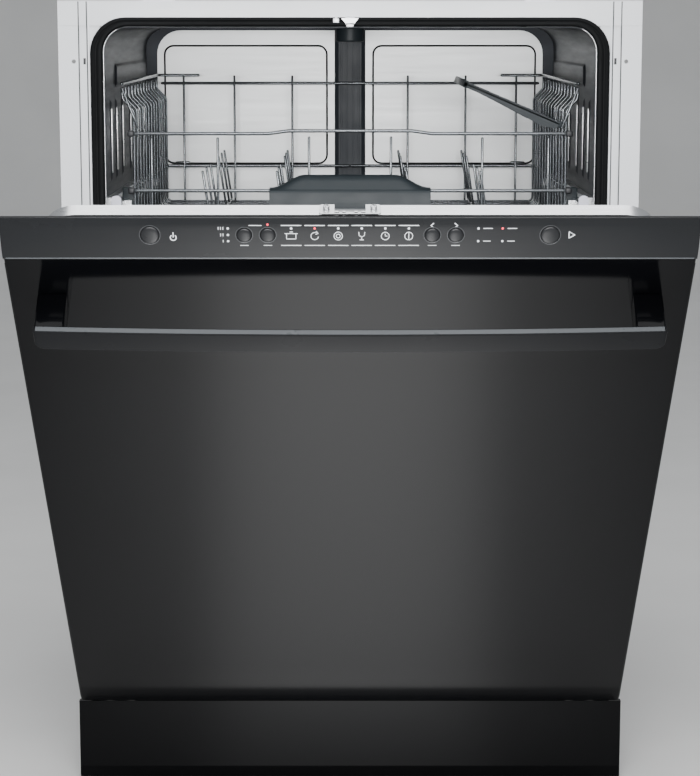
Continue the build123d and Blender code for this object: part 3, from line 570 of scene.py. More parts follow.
def arch_line(half, bottom, top, corner, steps=10):
    """From the left foot over the rounded top to the right foot."""
    line = [(-half, bottom)]
    for sign, first in ((-1, math.pi), (1, math.pi / 2)):
        for i in range(steps + 1):
            angle = first - math.pi / 2 * i / steps
            line.append((sign * (half - corner) + corner * math.cos(angle),
                         top - corner + corner * math.sin(angle)))
    return line + [(half, bottom)]


def arch_sweep(profile):
    """A closed profile swept around the tub's mouth; (0, y) is the seal's outside and (1, y) its inside."""
    lines = [arch_line(272 - 13 * t, 206, 842.7 - 9.2 * t, 37 - 10 * t) for t, _ in profile]
    return loft([[(x, y, z) for (_, y), (x, z) in zip(profile, stops)] for stops in zip(*lines)])

def make_seal():
    """The door's rubber seal and the bead of the tub's rim inside it."""
    lip = [(0, 0), (0.0, -2.2), (0.08, -3.1), (0.3, -3.4), (0.38, -2.5), (0.48, -2.4), (0.56, -3.6),
           (0.7, -4.0),
           (0.86, -3.8), (0.97, -2.9), (1.0, -1.4), (1.0, 0)]
    add_piece("door_seal", mesh_of(*arch_sweep(lip), sharp=45), "black_rubber", "cabinet",
              replaces=["door_gasket"])
    rim = [(1.06 + 0.055 * math.cos(a), -0.9 + 0.8 * math.sin(a)) for a in spread(0, 1.75 * math.pi, 8)]
    add_piece("tub_rim_bead", mesh_of(*arch_sweep(rim), sharp=60), "stainless", "cabinet")


def make_striker():
    """Tongue that the door's latch grips, on its small foot, beside the door switch's lug."""
    tongue = filled([[(-9.4, 842), (-4, 835.2), (4, 835.2), (9.4, 842)]], 1.3, 0.3, -4.1)
    add_piece("striker_tongue", tongue, "zinc_steel", "cabinet", replaces=["latch_striker"])
    lip = [((-4, 4), (-14, -4.3), (835.2, 836.6)), ((-4, 4), (-14, -12.6), (832.4, 836.6))]
    add_piece("striker_lip", boxes(lip, 0.4), "zinc_steel", "cabinet")
    add_piece("switch_lug", boxes([((-17.7, -11.5), (-4.3, -3.0), (837, 841.8))], 0.2), "zinc_steel",
              "cabinet")
    feet = [((-5, 5), (-5.3, 0.4), (841.4, 843.4)), ((-16, -13), (-4.2, 0.4), (841, 843.4))]
    add_piece("striker_foot", boxes(feet, 0.4), "white_enamel", "cabinet")


def make_white_frame():
    """Folds, slots and screws of the white front frame, and thin dark strips of painted shade along its seams."""
    folds = [(side_span(s, 272.6, 274.6), (-0.5, 1.1), (207, 858.6)) for s in (-1, 1)]
    add_piece("frame_folds", boxes(folds, 0.3), "white_enamel", "cabinet")
    slots = [(side_span(s, 277.0, 279.5), (0.6, 1.35), (794, 800.5)) for s in (-1, 1)]
    add_piece("frame_slots", boxes(slots, 0.2), "dark_plastic", "cabinet")
    # Dark strips along the frame's seams: painted shade in the joints between its parts.
    low, high = node_box("front_frame_top")
    seams = [(side_span(s, x - 0.6, x + 0.6), (face - 0.15, face + 0.6), (start, end)) for s in (-1, 1)
             for x, face, start, end in ((275.4, 1.2, 207, low.z), (275.4, 0, low.z, high.z - 1),
                                         (284, 0, 207, high.z - 1))]
    add_piece("frame_seam_shades", boxes(seams, 0.1), "dark_plastic", "cabinet")
    screws("bracket_screws", [(s * 200 + d, 30, 861.3) for s in (-1, 1) for d in (-12, 12)], (0, 0, 1), 2.6,
           "cabinet")


# ---------------------------------------------------------------- racks
def upper_rack():
    """Wire basket for glasses and bowls, with its prongs, corner clips and hangers."""
    low, high = node_box("upper_rack_frame")
    thick, thin = 1.9, 1.4
    front, back = low.y + thick, high.y - thick
    side, kink = 232.0, high.x - thick
    floor, top = low.z + thin, high.z - thick
    mid, rim, back_rim, raised = 659.0, 720.0, 763.0, 723.0
    edge = side + thin + thick
    across = floor + 2 * thin
    rings = [[(-edge, back - 2, rim), (-edge, front, rim), (-88, front, rim), (-66, front, raised),
              (66, front, raised),
              (88, front, rim), (edge, front, rim), (edge, back - 2, rim)],
             [(0, back, mid), (-edge, back, mid), (-edge, front, mid), (edge, front, mid),
              (edge, back, mid),
              (0, back, mid)],
             [(-edge - 4, back, back_rim), (edge + 4, back, back_rim)]]
    for s in (-1, 1):
        rings.append([(s * kink, front + 2, top), (s * kink, back, top), (s * 190, back, top)])
        rings.append([(s * 222, back - 1, 663), (s * 203, back - 1, 663)])
    add_piece("upper_rack_rims", wires(rings, thick, 7), "coated_wire", "upper_rack",
              replaces=["upper_rack_frame"])
    hoops = [[(-kink, y, top - 3.4), (-kink, y, 757), (-side, y, 744), (-side, y, across),
              (side, y, across),
              (side, y, 744), (kink, y, 757), (kink, y, top - 3.4)]
             for y in spread(front + 8, back - 8, 13)]
    add_piece("upper_rack_hoops", wires(hoops, thin, 7), "coated_wire", "upper_rack")
    inner, outer = front + thick + thin, back - thick - thin
    runs = [[(x, inner, rim - 3), (x, inner, floor), (x, outer - 10, floor)] for x in (-44, 44)]
    runs += [[(x, inner, rim - 4), (x, inner, floor), (b, outer, floor), (b, outer, top)]
             for x, b in ((-213, -210), (-142, -146), (142, 146), (213, 210))]
    runs += [[(x, inner + 12, floor), (x, outer, floor), (x, outer, top)] for x in (-73, 73)]
    runs += [[(x, inner + 10, floor), (x, outer - 10, floor)] for x in (-178, -108, -14, 14, 108, 178)]
    runs += [[(s * 227, front + 1.6, rim + 6), (s * kink, front + 1.6, top - 4)] for s in (-1, 1)]
    add_piece("upper_rack_uprights", wires(runs, thin, 9), "coated_wire", "upper_rack")
    row = across + 2 * thin
    tines = [[(x, inner + 8, row), (x, outer - 8, row)] for x in (-150, -70, 70, 150)]
    tines += [[(x, y, row), (x - 9.3, y, row + 62)] for x in (-150, -70, 70, 150)
              for y in (52, 118, 184, 340, 406, 466)]
    add_piece("upper_rack_prongs", wires(tines, thin, 4), "coated_wire", "upper_rack",
              replaces=["upper_rack_tines"])
    clips = [(side_span(s, edge - 4, edge + 3.2), (front - 2.6, front + 7), (z - 3.4, z + 3.4))
             for s in (-1, 1) for z in (mid, rim)]
    add_piece("rack_corner_clips", boxes(clips, 1.8), "dark_plastic", "upper_rack")
    stays = [(side_span(s, 232, 248), (y - 4, y + 4), (627, 660)) for s in (-1, 1) for y in (75, 415)]
    add_piece("slide_hangers", boxes(stays, 1.2), "slate_plastic", "upper_rack")


def lower_rack():
    """Wire basket for plates, with its prongs, carriers and spoked wheels."""
    low, high = node_box("lower_rack_frame")
    thick, thin = 1.9, 1.4
    front, back = low.y + thick, high.y - thick
    side, floor, mid, rim = 236.0, 238.0, 284.0, 332.0
    edge = side + thin + thick
    across = floor + 2 * thin
    rings = [[(0, back, z), (-edge, back, z), (-edge, front, z), (edge, front, z), (edge, back, z),
              (0, back, z)]
             for z in (mid, rim)]
    add_piece("lower_rack_rims", wires(rings, thick, 9), "coated_wire", "lower_rack",
              replaces=["lower_rack_frame"])
    hoops = [[(-side, y, rim - 1), (-side, y, across), (side, y, across), (side, y, rim - 1)]
             for y in spread(50, 464, 13)]
    inner, outer = front + thick + thin, back - thick - thin
    runs = [[(x, inner, rim - 1), (x, inner, floor), (x, outer, floor), (x, outer, rim - 1)]
            for x in spread(-200, 200, 8)]
    runs += [[(x, inner + 10, floor), (x, outer - 10, floor)] for x in (-228, -171, -114, 114, 171, 228)]
    add_piece("lower_rack_hoops", wires(hoops + runs, thin, 9), "coated_wire", "lower_rack")
    row = across + 2 * thin
    tines = [[(x, inner + 8, row), (x, outer - 8, row)] for x in (-190, -125, -60, 5, 70)]
    tines += [[(x, y, row), (x - 9.3, y, row + 78)] for x in (-190, -125, -60, 5, 70)
              for y in spread(52, 462, 17)]
    add_piece("lower_rack_prongs", wires(tines, thin, 4), "coated_wire", "lower_rack",
              replaces=["lower_rack_tines"])
    wheel_level = joints["lower_front_wheels_roll"]["pos_m"][2] / MM
    carriers = []
    for s in (-1, 1):
        for y in (84, 430):
            carriers.append((side_span(s, 236.5, 240), (y - 9, y + 9), (wheel_level - 8, floor + 14)))
    add_piece("wheel_carriers", boxes(carriers, 1), "slate_plastic", "lower_rack")
    stubs = [lathe([(3, 0), (3, 9.4), (2.2, 10)], (s * 240, y, wheel_level), (s, 0, 0), 20)
             for s in (-1, 1) for y in (84, 430)]
    add_piece("wheel_stubs", mesh_of(*join(stubs)), "zinc_steel", "lower_rack")
    for place in ("front", "rear"):
        y = joints[f"lower_{place}_wheels_roll"]["pos_m"][1] / MM
        tread = [(3.2, 0), (15.6, 0), (17, 1.2), (17, 7), (15.6, 8), (13.4, 8), (12.4, 5.4), (8.4, 5.4),
                 (7.6, 9.6),
                 (6.6, 10.4), (3.2, 10.4)]
        parts = [lathe(tread, (s * 240.7, y, wheel_level), (s, 0, 0), 48) for s in (-1, 1)]
        name = f"rack_wheels_{place}"
        add_piece(name, mesh_of(*join(parts), sharp=30), "slate_plastic", f"lower_rack_{place}_wheels",
                  replaces=[f"lower_rack_{place}_wheels"])
        spokes = []
        for s in (-1, 1):
            for i in range(5):
                a = 2 * math.pi * i / 5
                spokes.append((Vector((s * 247.3, y + 7.6 * math.cos(a), wheel_level + 7.6 * math.sin(a))),
                               Vector((s * 247.3, y + 13.2 * math.cos(a),
                                       wheel_level + 13.2 * math.sin(a)))))
        add_piece(f"wheel_spokes_{place}", wires(spokes, 1.3), "slate_plastic",
                  f"lower_rack_{place}_wheels")


def rack_handle():
    """Slate handle: upright face, a thin ledge, and shoulders that swell up to the rear edge."""
    low, high = node_box("upper_rack_handle")
    rings = []
    for x in spread(low.x, high.x, 61):
        t = min(1.0, max(0.0, (abs(x) - 48) / 36))
        crest = high.z - 0.3 - (high.z - 663.5) * (t * t * (3 - 2 * t))
        rear = 33.0 - 6 * t * t
        section = [(low.y + 2, low.z + 1), (low.y + 0.6, low.z + 6), (low.y + 0.2, 640),
                   (low.y + 0.4, 658.5),
                   (low.y + 1.2, 660.4), (low.y + 3.2, 661.2), (low.y + 4.6, 661.6 + 0.12 * (crest - 662)),
                   (low.y + 8, 662 + 0.55 * (crest - 662)), (low.y + 13, 662 + 0.86 * (crest - 662)),
                   (low.y + 18, crest), (rear, crest - 0.4), (rear, crest - 3.4), (low.y + 17, crest - 3.4),
                   (low.y + 6, 658), (low.y + 4, 655), (low.y + 4, low.z + 1)]
        rings.append([(x, y, z) for y, z in section])
    add_piece("rack_handle", mesh_of(*loft(rings), sharp=50), "slate_plastic", "upper_rack",
              replaces=["upper_rack_handle"])
    hooks = [((x - 4, x + 4), (16, 41.5), (657, 662)) for x in (-72, 72)]
    hooks += [((x - 4, x + 4), (low.y + 4, 36), (low.z + 2, low.z + 6)) for x in (-60, 60)]
    add_piece("handle_hooks", boxes(hooks, 1), "slate_plastic", "upper_rack")


def cup_shelf():
    """Folding shelf: thin ribbed plate with deep side flanges and a lip at its free edge."""
    pivot = Vector(joints["cup_shelf_fold"]["pos_m"]) / MM
    angle = math.radians(23)
    start = 43.0
    place = Matrix.Translation((pivot.x, start, pivot.z)) @ Matrix(
        ((-math.cos(angle), 0, math.sin(angle), 0), (0, 1, 0, 0), (math.sin(angle), 0, math.cos(angle), 0),
         (0, 0, 0, 1)))
    spans = [((0, 112), (0, 208), (-1.2, 1.2)), ((108, 112.5), (0, 208), (-4, 4))]
    spans += [((x, x + 2.4), (3, 205), (1, 2.6)) for x in spread(12, 96, 8)]
    spans += [((4, 108), (y, y + 2.2), (-3.6, -1)) for y in (50, 104, 156)]
    plate = boxes(spans, 0.5)
    add_piece("cup_shelf_plate", plate, "slate_plastic", "cup_shelf", place=metres(place),
              replaces=["cup_shelf"])
    flange = [(2, 2), (112, 2), (112, -2.5), (60, -5.5), (18, -9.0), (2, -6)]
    sides = [loft([[(x, y, z) for x, z in flange] for y in ends]) for ends in ((0, 2.6), (205.4, 208))]
    add_piece("cup_shelf_flanges", mesh_of(*join(sides), sharp=20), "slate_plastic", "cup_shelf",
              place=metres(place))
    eyes = [lathe([(2.2, 0), (3.5, 0.5), (3.5, 11.5), (2.2, 12)], (pivot.x, y, pivot.z), (0, 1, 0), 24)
            for y in (start + 0.5, start + 98, start + 195.5)]
    add_piece("cup_shelf_eyes", mesh_of(*join(eyes)), "slate_plastic", "cup_shelf")



def spray_arm(name, node):
    """Two-bladed arm with swollen water channels, a domed hub and angled jets."""
    low, high = [corner.z for corner in node_box(node)]
    centre_y = joints["upper_spray_spin"]["pos_m"][1] / MM
    middle, half = (low + high) / 2, (high - low) / 2
    xs = [-215, -214, -211, -206, -198] + spread(-190, -26, 12) + spread(-20, 20, 7) + spread(26, 190, 12) \
        + [198, 206, 211, 214, 215]
    rings, steps = [], 28
    for x in xs:
        reach = abs(x)
        tip = math.sqrt(max(0.02, 1 - max(0.0, (reach - 197) / 18.05) ** 2))
        width = (15 + 7 * (1 - reach / 215)) * tip
        twist = 0.10 * max(-1.0, min(1.0, x / 60))
        section = []
        for i in range(steps):
            a = 2 * math.pi * i / steps
            c, s = math.cos(a), math.sin(a)
            y = width * math.copysign(abs(c) ** 0.7, c)
            z = half * (0.82 + 0.18 * tip) * math.copysign(abs(s) ** 0.6, s) * (0.75 + 0.25 * abs(s))
            section.append((x, centre_y + y, middle + z * tip ** 0.4 + twist * y * 0.3))
        rings.append(section)
    hub = lathe([(5.2, low - middle), (24, low - middle), (25, 1), (22, half), (12, half + 1.2),
                 (5.2, half + 1.2)],
                (0, centre_y, middle), (0, 0, 1), 48)
    jets = [lathe([(4.2, 0), (3.6, 1.3), (2.2, 1.5), (1.4, 0.2), (0.05, 0)],
                  (x, centre_y + shift, high - 1.0),
                  (tilt, 0, 1), 20)
            for x, shift, tilt in ((-188, 3, 0.2), (-150, -6, -0.15), (-112, 5, 0.1), (-70, -5, 0.1),
                                   (70, 5, -0.1),
                                   (112, -5, -0.1), (150, 6, 0.15), (188, -3, -0.2))]
    add_piece(name, mesh_of(*join([loft(rings), hub] + jets), sharp=40), "slate_plastic", node,
              replaces=[node])


def basket():
    """Lattice basket with four cells and an arched grip."""
    low, high = node_box("silverware_basket")
    x0, x1, y0, y1, z0, z1 = low.x, high.x, low.y, high.y, low.z, 350.0
    wall = 2.2
    spans = []
    for x in (x0, x1 - wall):
        spans += [((x, x + wall), (y, y + 2.6), (z0 + 1, z1 - 1)) for y in spread(y0, y1 - 2.6, 24)]
    cells = spread(y0, y1 - 2.4, 5)
    for y in cells:
        spans += [((x, x + 2.6), (y, y + wall), (z0 + 1, z1 - 1)) for x in spread(x0, x1 - 2.6, 9)]
    for z, tall in ((z0, 5), (z0 + 33, 2.6), (z0 + 66, 2.6), (z1 - 6, 6)):
        spans += [((x, x + wall), (y0, y1), (z, z + tall)) for x in (x0, x1 - wall)]
        spans += [((x0, x1), (y, y + wall), (z, z + tall)) for y in cells]
    spans += [((x, x + 2.4), (y0, y1), (z0, z0 + 2.4)) for x in spread(x0 + 7, x1 - 9.4, 8)]
    spans += [((x0, x1), (y, y + 2.4), (z0, z0 + 2.4)) for y in spread(y0 + 9, y1 - 11, 18)]
    add_piece("basket_lattice", boxes(spans, 0.5), "slate_plastic", "silverware_basket",
              replaces=["silverware_basket"])
    mid_x = (x0 + x1) / 2
    grip = [[(mid_x, y0 + 56, z0 + 8), (mid_x, y0 + 56, 394), (mid_x, y1 - 56, 394),
             (mid_x, y1 - 56, z0 + 8)]]
    add_piece("basket_grip", wires(grip, 4.6, 16), "slate_plastic", "silverware_basket")


# ---------------------------------------------------------------- springs under the tub
def springs():
    """The door's two balance springs, coiled between straight ends."""
    paths = []
    for sign in (-1, 1):
        x, z, turns, radius = sign * 272, 138, 34, 7.4
        line = [(x, 112, z), (x, 146, z)]
        for i in range(turns * 12 + 1):
            angle = 2 * math.pi * i / 12
            line.append((x + radius * math.cos(angle), 150 + 200 * i / (turns * 12),
                         z + radius * math.sin(angle)))
        line += [(x, 356, z), (x, 490, z)]
        paths.append(line)
    add_piece("balance_springs", wires(paths, 1.5, 1.0), "spring_steel", "cabinet",
              replaces=["door_springs"])


def machinery():
    """Cooling ribs and a cap on the pumps, barbs on the hoses, rings on the valve's coil, threads on the feet and
    two cover screws.
    """
    ribs = [lathe([(44.2, 0), (46.6, 0.8), (46.6, 2.4), (44.2, 3.2)], (0, y, 92), (0, 1, 0), 56)
            for y in (342, 350, 358, 396, 404, 412, 420)]
    add_piece("pump_ribs", mesh_of(*join(ribs)), "pale_plastic", "cabinet")
    can = [lathe([(10, 0), (30, 0), (33, 3), (33, 8), (30, 10), (12, 10), (12, 16), (8, 18)],
                 (0, 426.2, 92), (0, 1, 0))]
    add_piece("pump_motor_cap", mesh_of(*join(can)), "zinc_steel", "cabinet")
    drain = [lathe([(26.2, 0), (28, 0.6), (28, 1.8), (26.2, 2.4)], (x, 250, 100), (1, 0, 0), 40)
             for x in (-120, -114, -85, -79, -73)]
    add_piece("drain_pump_ribs", mesh_of(*join(drain)), "dark_plastic", "cabinet")
    barbs = []
    for x, z, radius in ((-95, 100, 9.0), (170, 70, 9.5)):
        barbs += [lathe([(radius, 0), (radius + 1.3, 0.4), (radius, 4)], (x, y, z), (0, 1, 0), 32)
                  for y in (563, 568, 573)]
    add_piece("hose_barbs", mesh_of(*join(barbs)), "dark_plastic", "cabinet")
    coil = [lathe([(14.2, 0), (16, 1), (16, 3), (14.2, 4)], (170, 450, z), (0, 0, 1), 36)
            for z in (93, 99, 105, 111)]
    add_piece("valve_coil_rings", mesh_of(*join(coil)), "pale_plastic", "cabinet")
    pads = []
    for x in (-270, 270):
        for y in (70, 500):
            threads = [point for i in range(9) for point in ((5.1, 27 + 3 * i), (6.0, 28.4 + 3 * i),
                                                             (5.1, 29.8 + 3 * i))]
            pads.append(lathe(threads, (x, y, 0), (0, 0, 1), 24))
            pads.append(lathe([(5.1, 8), (11, 8), (12, 9), (12, 13), (11, 14), (5.1, 14)], (x, y, 0),
                              (0, 0, 1), 6))
    add_piece("foot_threads", mesh_of(*join(pads), sharp=25), "zinc_steel", "cabinet")
    screws("box_cover_screws", [(-198 + s * 28, 111.9, 74) for s in (-1, 1)], (0, -1, 0), 3, "cabinet")


# ---------------------------------------------------------------- door: control face
BUTTONS = {"power": (-171.0, 8.0), "delay": (-90.4, 6.4), "sanitize": (-70.3, 6.4),
           "cycle_back": (70.3, 6.4), "cycle_next": (90.4, 6.4), "start": (171.0, 8.0)}
BUTTON_LEVEL = 839.7
FACE_RADIUS = 80.0
FACE_Y = 33.3
FACE_Z = 811.8
PROGRAMMES = (-50.2, 50.2, 6)


def on_face(x, up, lift=0.0):
    """Point on the control face, so far up from the buttons' line and lifted so far off the surface."""
    rise = (BUTTON_LEVEL + up - FACE_Z) / FACE_RADIUS
    normal = Vector((0, -math.sqrt(1 - rise * rise), rise))
    return Vector((x, FACE_Y, FACE_Z)) + normal * (FACE_RADIUS + lift)


def stroke(points, width, closed=False):
    """A printed line on the control face, as a thin closed strip."""
    if closed:
        points = points + [points[0], points[1]]
    dense = []
    for a, b in zip(points, points[1:]):
        steps = max(1, int(math.dist(a, b) / 1.2))
        dense += [(a[0] + (b[0] - a[0]) * i / steps, a[1] + (b[1] - a[1]) * i / steps)
                  for i in range(steps)]
    dense.append(points[-1])
    rings = []
    for i, point in enumerate(dense):
        before, after = dense[max(0, i - 1)], dense[min(len(dense) - 1, i + 1)]
        run = Vector((after[0] - before[0], after[1] - before[1])).normalized()
        side = Vector((-run.y, run.x)) * width / 2
        rings.append([on_face(point[0] + way * side.x, point[1] + way * side.y, lift)
                      for way, lift in ((-1, -0.1), (1, -0.1), (1, 0.09), (-1, 0.09))])
    return loft(rings)

def ring(x, up, radius, first=0.0, last=360.0, steps=20):
    """Points of a circle or an arc on the control face, in degrees."""
    return [(x + radius * math.cos(math.radians(a)), up + radius * math.sin(math.radians(a)))
            for a in spread(first, last, steps)]


def control_marks():
    """Generic pictograms, rules and ticks printed on the control face."""
    line, fine = 0.75, 0.5
    over, under = 8.0, -9.8
    marks = [stroke(ring(-151, -2.4, 2.5, 125, 415), line), stroke([(-151, -2.2), (-151, 2.2)], line)]
    marks += [stroke([(x - 8.7, up), (x + 8.7, up)], 0.6) for x in spread(*PROGRAMMES)
              for up in (over, under)]
    pictures = [
        [[(-4, 1.2), (-4, -3.6), (4, -3.6), (4, 1.2)], [(-5.6, 1.2), (5.6, 1.2)],
         [(-1.4, 2.6), (1.4, 2.6)]],
        [ring(0, -1, 3.2, 60, 350), [(1.2, 3.2), (3.0, 1.4), (0.8, 0.4)]],
        [ring(0, -1, 3.6), ring(0, -1, 1.7)],
        [[(-2.6, 2.6), (-2.2, -0.6), (0, -1.8), (2.2, -0.6), (2.6, 2.6)], [(0, -1.8), (0, -4.2)],
         [(-1.8, -4.4), (1.8, -4.4)]],
        [ring(0, -1, 3.4), [(0, 1.0), (0, -1), (1.8, -1)]],
        [ring(0, -1, 3.4, 90, 270) + [(0, 2.4)], ring(0, -1, 3.4, -86, 86, 12)],
    ]
    for x, picture in zip(spread(*PROGRAMMES), pictures):
        marks += [stroke([(x + px, pz) for px, pz in part], fine) for part in picture]
    for x, sign in ((70.3, -1), (90.4, 1)):
        marks.append(stroke([(x - sign * 1.1, over + 1.8), (x + sign * 1.3, over),
                             (x - sign * 1.1, over - 1.8)], line))
    marks += [stroke([(x - 3.6, under), (x + 3.6, under)], fine) for x in (-90.4, -70.3, 70.3, 90.4)]
    marks += [stroke([(-86.4, over), (-75.4, over)], fine)]
    for count, up in ((3, 5.6), (2, 0.0), (1, -5.6)):
        marks += [stroke([(-108.4 - 2 * i, up - 1.2), (-108.4 - 2 * i, up + 1.2)], fine)
                  for i in range(count)]
    for x in (113.8, 134.4):
        marks += [stroke([(x, 5.6), (x + 8, 5.6)], fine), stroke([(x, -5.6), (x + 6.4, -5.6)], fine)]
    marks += [stroke([(187, 2.8), (192, 0), (187, -2.8)], line, closed=True)]
    add_piece("control_marks", mesh_of(*join(marks), sharp=20), "clear_lens", "door", SWING,
              material=PRINT)


def controls():
    """Button caps, their collars, the lit lamps and the printed marks."""
    for name, (x, radius) in BUTTONS.items():
        centre = on_face(x, 0)
        normal = (on_face(x, 0, 1) - centre).normalized()
        dome = [(radius - 0.02, -6.8), (radius, -1.2), (radius, 0.15), (radius - 0.25, 0.75),
                (0.86 * radius, 1.2),
                (0.66 * radius, 1.55), (0.42 * radius, 1.78), (0.2 * radius, 1.88), (0.01, 1.9)]
        data = mesh_of(*lathe(dome, centre, normal, 56), sharp=50)
        add_piece(f"{name}_cap", data, "black_gloss", f"{name}_button", SWING, replaces=[f"{name}_button"],
                  material=BUTTON)
    lit = [(-30.1, 5.6), (130.2, 5.6), (-70.3, 8.7)]
    bead = [(1.0, -0.4), (1.0, 0.12), (0.8, 0.42), (0.45, 0.58), (0.01, 0.62)]
    parts = []
    for x, up in lit:
        centre = on_face(x, up)
        parts.append(lathe(bead, centre, on_face(x, up, 1) - centre, 20))
    add_piece("lit_lamps", mesh_of(*join(parts), sharp=60), "clear_lens", "door", SWING, material=RED)
    control_marks()
    collars = []
    for x, radius in BUTTONS.values():
        centre = on_face(x, 0)
        rim = [(radius + 0.4, -0.3), (radius + 0.5, 0.1), (radius + 0.8, 0.22), (radius + 1.15, 0.12),
               (radius + 1.25, -0.3)]
        collars.append(lathe(rim, centre, on_face(x, 0, 1) - centre, 56))
    data = mesh_of(*join([(v, [f for f in faces if len(f) == 4]) for v, faces in collars]), sharp=60)
    add_piece("button_collars", data, "black_gloss", "door", SWING)


# ---------------------------------------------------------------- door: handle, edges and inner side
HANDLE_HALF = 274.5
HANDLE_TOP = 768.6
HANDLE_TALL = 22.7
BAR_BACK = -82.2
BAR_BOW = 4.3
BAR_THICK = 7.3


def bar_rear(x):
    """How far forward the rear face of the bowed bar stands."""
    return BAR_BACK - BAR_BOW * (1 - (x / HANDLE_HALF) ** 2)

def handle():
    """Bowed flat bar with softened edges and rounded lower corners, a paler crown painted on as a highlight, and
    two posts.
    """
    soft, corner = 1.2, 9.0
    ends = [HANDLE_HALF - step for step in (0, 0.3, 1.1, 2.5, 4.5, 7, 10.5)]
    rings = []
    for x in [-x for x in ends] + spread(-258, 258, 44) + ends[::-1]:
        back = bar_rear(x)
        front = back - BAR_THICK
        over = max(0.0, abs(x) - (HANDLE_HALF - corner))
        lift = corner - math.sqrt(max(0.0, corner * corner - over * over))
        end = max(0.0, abs(x) - (HANDLE_HALF - soft))
        pinch = soft - math.sqrt(max(0.0, soft * soft - end * end))
        low, high = HANDLE_TOP - HANDLE_TALL + lift, HANDLE_TOP - pinch * 0.6
        section = []
        for cz, first in ((high - soft, 90), (low + soft, 180)):
            for a in [math.radians(angle) for angle in spread(first, first + 90, 5)]:
                section.append((front + soft + soft * math.cos(a), cz + soft * math.sin(a)))
        section += [(back - 0.5, low), (back, low + 0.5), (back, high - 0.5), (back - 0.5, high)]
        section = [(min(y, back) if y > front + soft else max(y, front + pinch), z) for y, z in section]
        rings.append([(x, y, z) for y, z in section])
    add_piece("grip_bar", mesh_of(*loft(rings), sharp=40), "black_enamel", "door", SWING,
              replaces=["handle_bar"], material=BAR)
    # Thin paler strip on the bar's top: a painted highlight on its upper face.
    below, above = HANDLE_TOP - 0.3, HANDLE_TOP + 0.12
    crown = []
    for x in spread(-HANDLE_HALF + 2, HANDLE_HALF - 2, 49):
        rear, nose = bar_rear(x) - 1, bar_rear(x) - BAR_THICK + 1.4
        crown.append([(x, rear, below), (x, rear, above), (x, nose, above), (x, nose, below)])
    add_piece("grip_crown_highlight", mesh_of(*loft(crown)), "black_enamel", "door", SWING, material=CROWN_HIGHLIGHT)
    spans = [(side_span(s, HANDLE_HALF - 26, HANDLE_HALF - 0.2), (BAR_BACK - 2.2, -44.2),
              (HANDLE_TOP - HANDLE_TALL + 0.3, HANDLE_TOP - 0.1)) for s in (-1, 1)]
    add_piece("grip_posts", boxes(spans, 1.6), "black_enamel", "door", SWING, replaces=["handle_posts"])

def door_edges():
    """The fascia's lower edge, painted paler as a highlight, beads, screws, rivets and the latch's catch."""
    # Bead along the fascia's lower edge in the paler plastic: a painted highlight.
    trim = [[(-296.6, -46.4, 816.0), (296.6, -46.4, 816.0)]]
    add_piece("fascia_edge_highlight", wires(trim, 0.8), "black_gloss", "door", SWING, material=EDGE)
    slits = [[(s * 298.4, -42.6, 104), (s * 298.4, -42.6, 806)] for s in (-1, 1)]
    add_piece("panel_side_beads", wires(slits, 0.7), "black_enamel", "door", SWING)
    screws("latch_screws", [(s * 20.5, -10, 841.1) for s in (-1, 1)], (0, 0, 1), 2.9, "door", SWING)
    catch = [((-4, 4), (-12.2, -7.4), (829, 834.4)), ((-10, -6.5), (-12.5, -8), (829, 835)),
             ((6.5, 10), (-12.5, -8), (829, 835))]
    add_piece("latch_catch", boxes(catch, 0.7), "zinc_steel", "door", SWING)
    side = [(s * 296, y, z) for s in (-1, 1) for y, z in ((-29, 140), (-29, 460), (-29, 780))]
    caps = [lathe([(3, 0), (3, 2.7), (2.2, 3.5), (0.02, 3.7)], p, (math.copysign(1, p[0]), 0, 0), 20)
            for p in side]
    add_piece("panel_rivets", mesh_of(*join(caps)), "zinc_steel", "door", SWING)


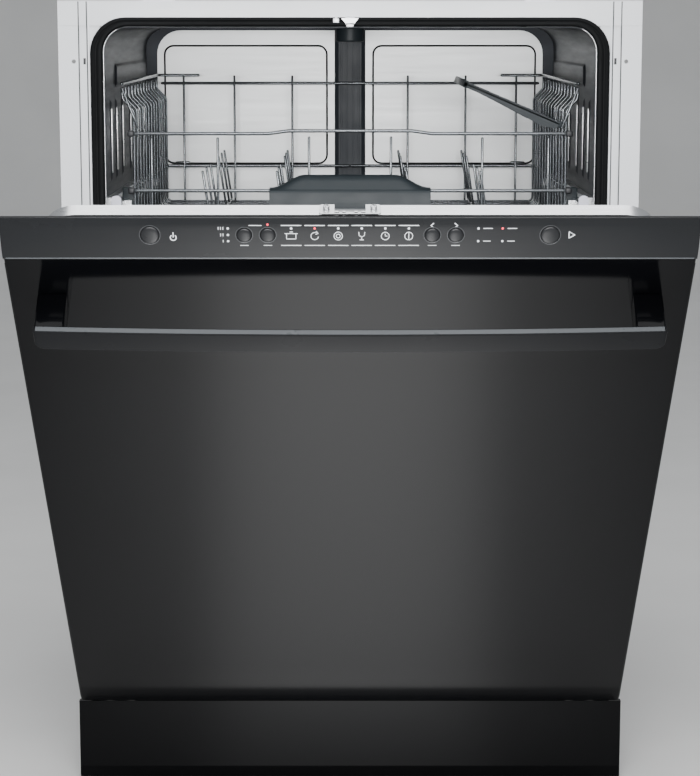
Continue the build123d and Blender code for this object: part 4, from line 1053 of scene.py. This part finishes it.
def inner_door():
    """Pressings, dispenser details and screws on the inner side of the door."""
    bead = rounded_box(224, 236, 800, 26)
    paths = [[(x, 6.0, z) for x, z in bead]]
    add_piece("liner_bead", wires(paths, 1.5, 2, closed=True), "stainless", "door", SWING)
    small = [[(x, 6.0, z) for x, z in rounded_box(150, 610, 740, 20)],
             [(x, 6.0, z) for x, z in rounded_box(150, 262, 372, 20)]]
    add_piece("liner_pressings", wires(small, 1.2, 2, closed=True), "stainless", "door", SWING)
    frame_line = [[(x, 7.4, z) for x, z in rounded_box(92.5, 401.5, 528.5, 9)]]
    add_piece("dispenser_seal", wires(frame_line, 2.0, 2, closed=True), "black_rubber", "door", SWING)
    ribs = [((x, x + 1.8), (11.9, 13.2), (440, 494)) for x in (-56, -46, 20, 12)]
    ribs += [((-22, -12), (12, 14.2), (498, 503))]
    add_piece("lid_ribs", boxes(ribs, 0.5), "pale_plastic", "dispenser_lid", SWING)
    knurls = []
    for i in range(24):
        a = 2 * math.pi * i / 24
        knurls.append([(58 + 16.8 * math.cos(a), 9.9, 465 + 16.8 * math.sin(a)),
                       (58 + 16.8 * math.cos(a), 12.2, 465 + 16.8 * math.sin(a))])
    add_piece("cap_knurls", wires(knurls, 0.8), "slate_plastic", "rinse_aid_cap", SWING)
    window = lathe([(6, 0), (6, 1.2), (5, 1.8), (0.02, 2.0)], (58, 8.9, 438), (0, 1, 0), 32)
    add_piece("rinse_aid_window", mesh_of(*window), "clear_lens", "door", SWING)
    screws("liner_screws", [(s * 251, -4.4, z) for s in (-1, 1) for z in (300, 520, 740)], (0, 1, 0), 3.2,
           "door", SWING)


def filter_and_sump():
    """The mesh of the filter plate and the grip of its cylinder."""
    level = 160.0
    mesh_lines = [[(x, 118, level + 1.6), (x, 232, level + 1.6)] for x in spread(-118, -52, 12)]
    mesh_lines += [[(x, 118, level + 1.6), (x, 232, level + 1.6)] for x in spread(52, 118, 12)]
    mesh_lines += [[(s * 50, y, level + 2.2), (s * 120, y, level + 2.2)] for s in (-1, 1)
                   for y in spread(122, 228, 16)]
    add_piece("filter_mesh", wires(mesh_lines, 0.45), "stainless", "cabinet")
    grip = [((-24, 24), (172.6, 177.4), (172, 178.5))]
    add_piece("filter_grip", boxes(grip, 1.2), "pale_plastic", "filter_cylinder")


make_camera()
make_stage()
make_lights()
dress_cad()
make_tub()
make_seal()
make_striker()
make_white_frame()
upper_rack()
lower_rack()
rack_handle()
cup_shelf()
spray_arm("upper_arm_shell", "upper_spray_arm")
spray_arm("lower_arm_shell", "lower_spray_arm")
basket()
springs()
machinery()
controls()
handle()
door_edges()
inner_door()
filter_and_sump()
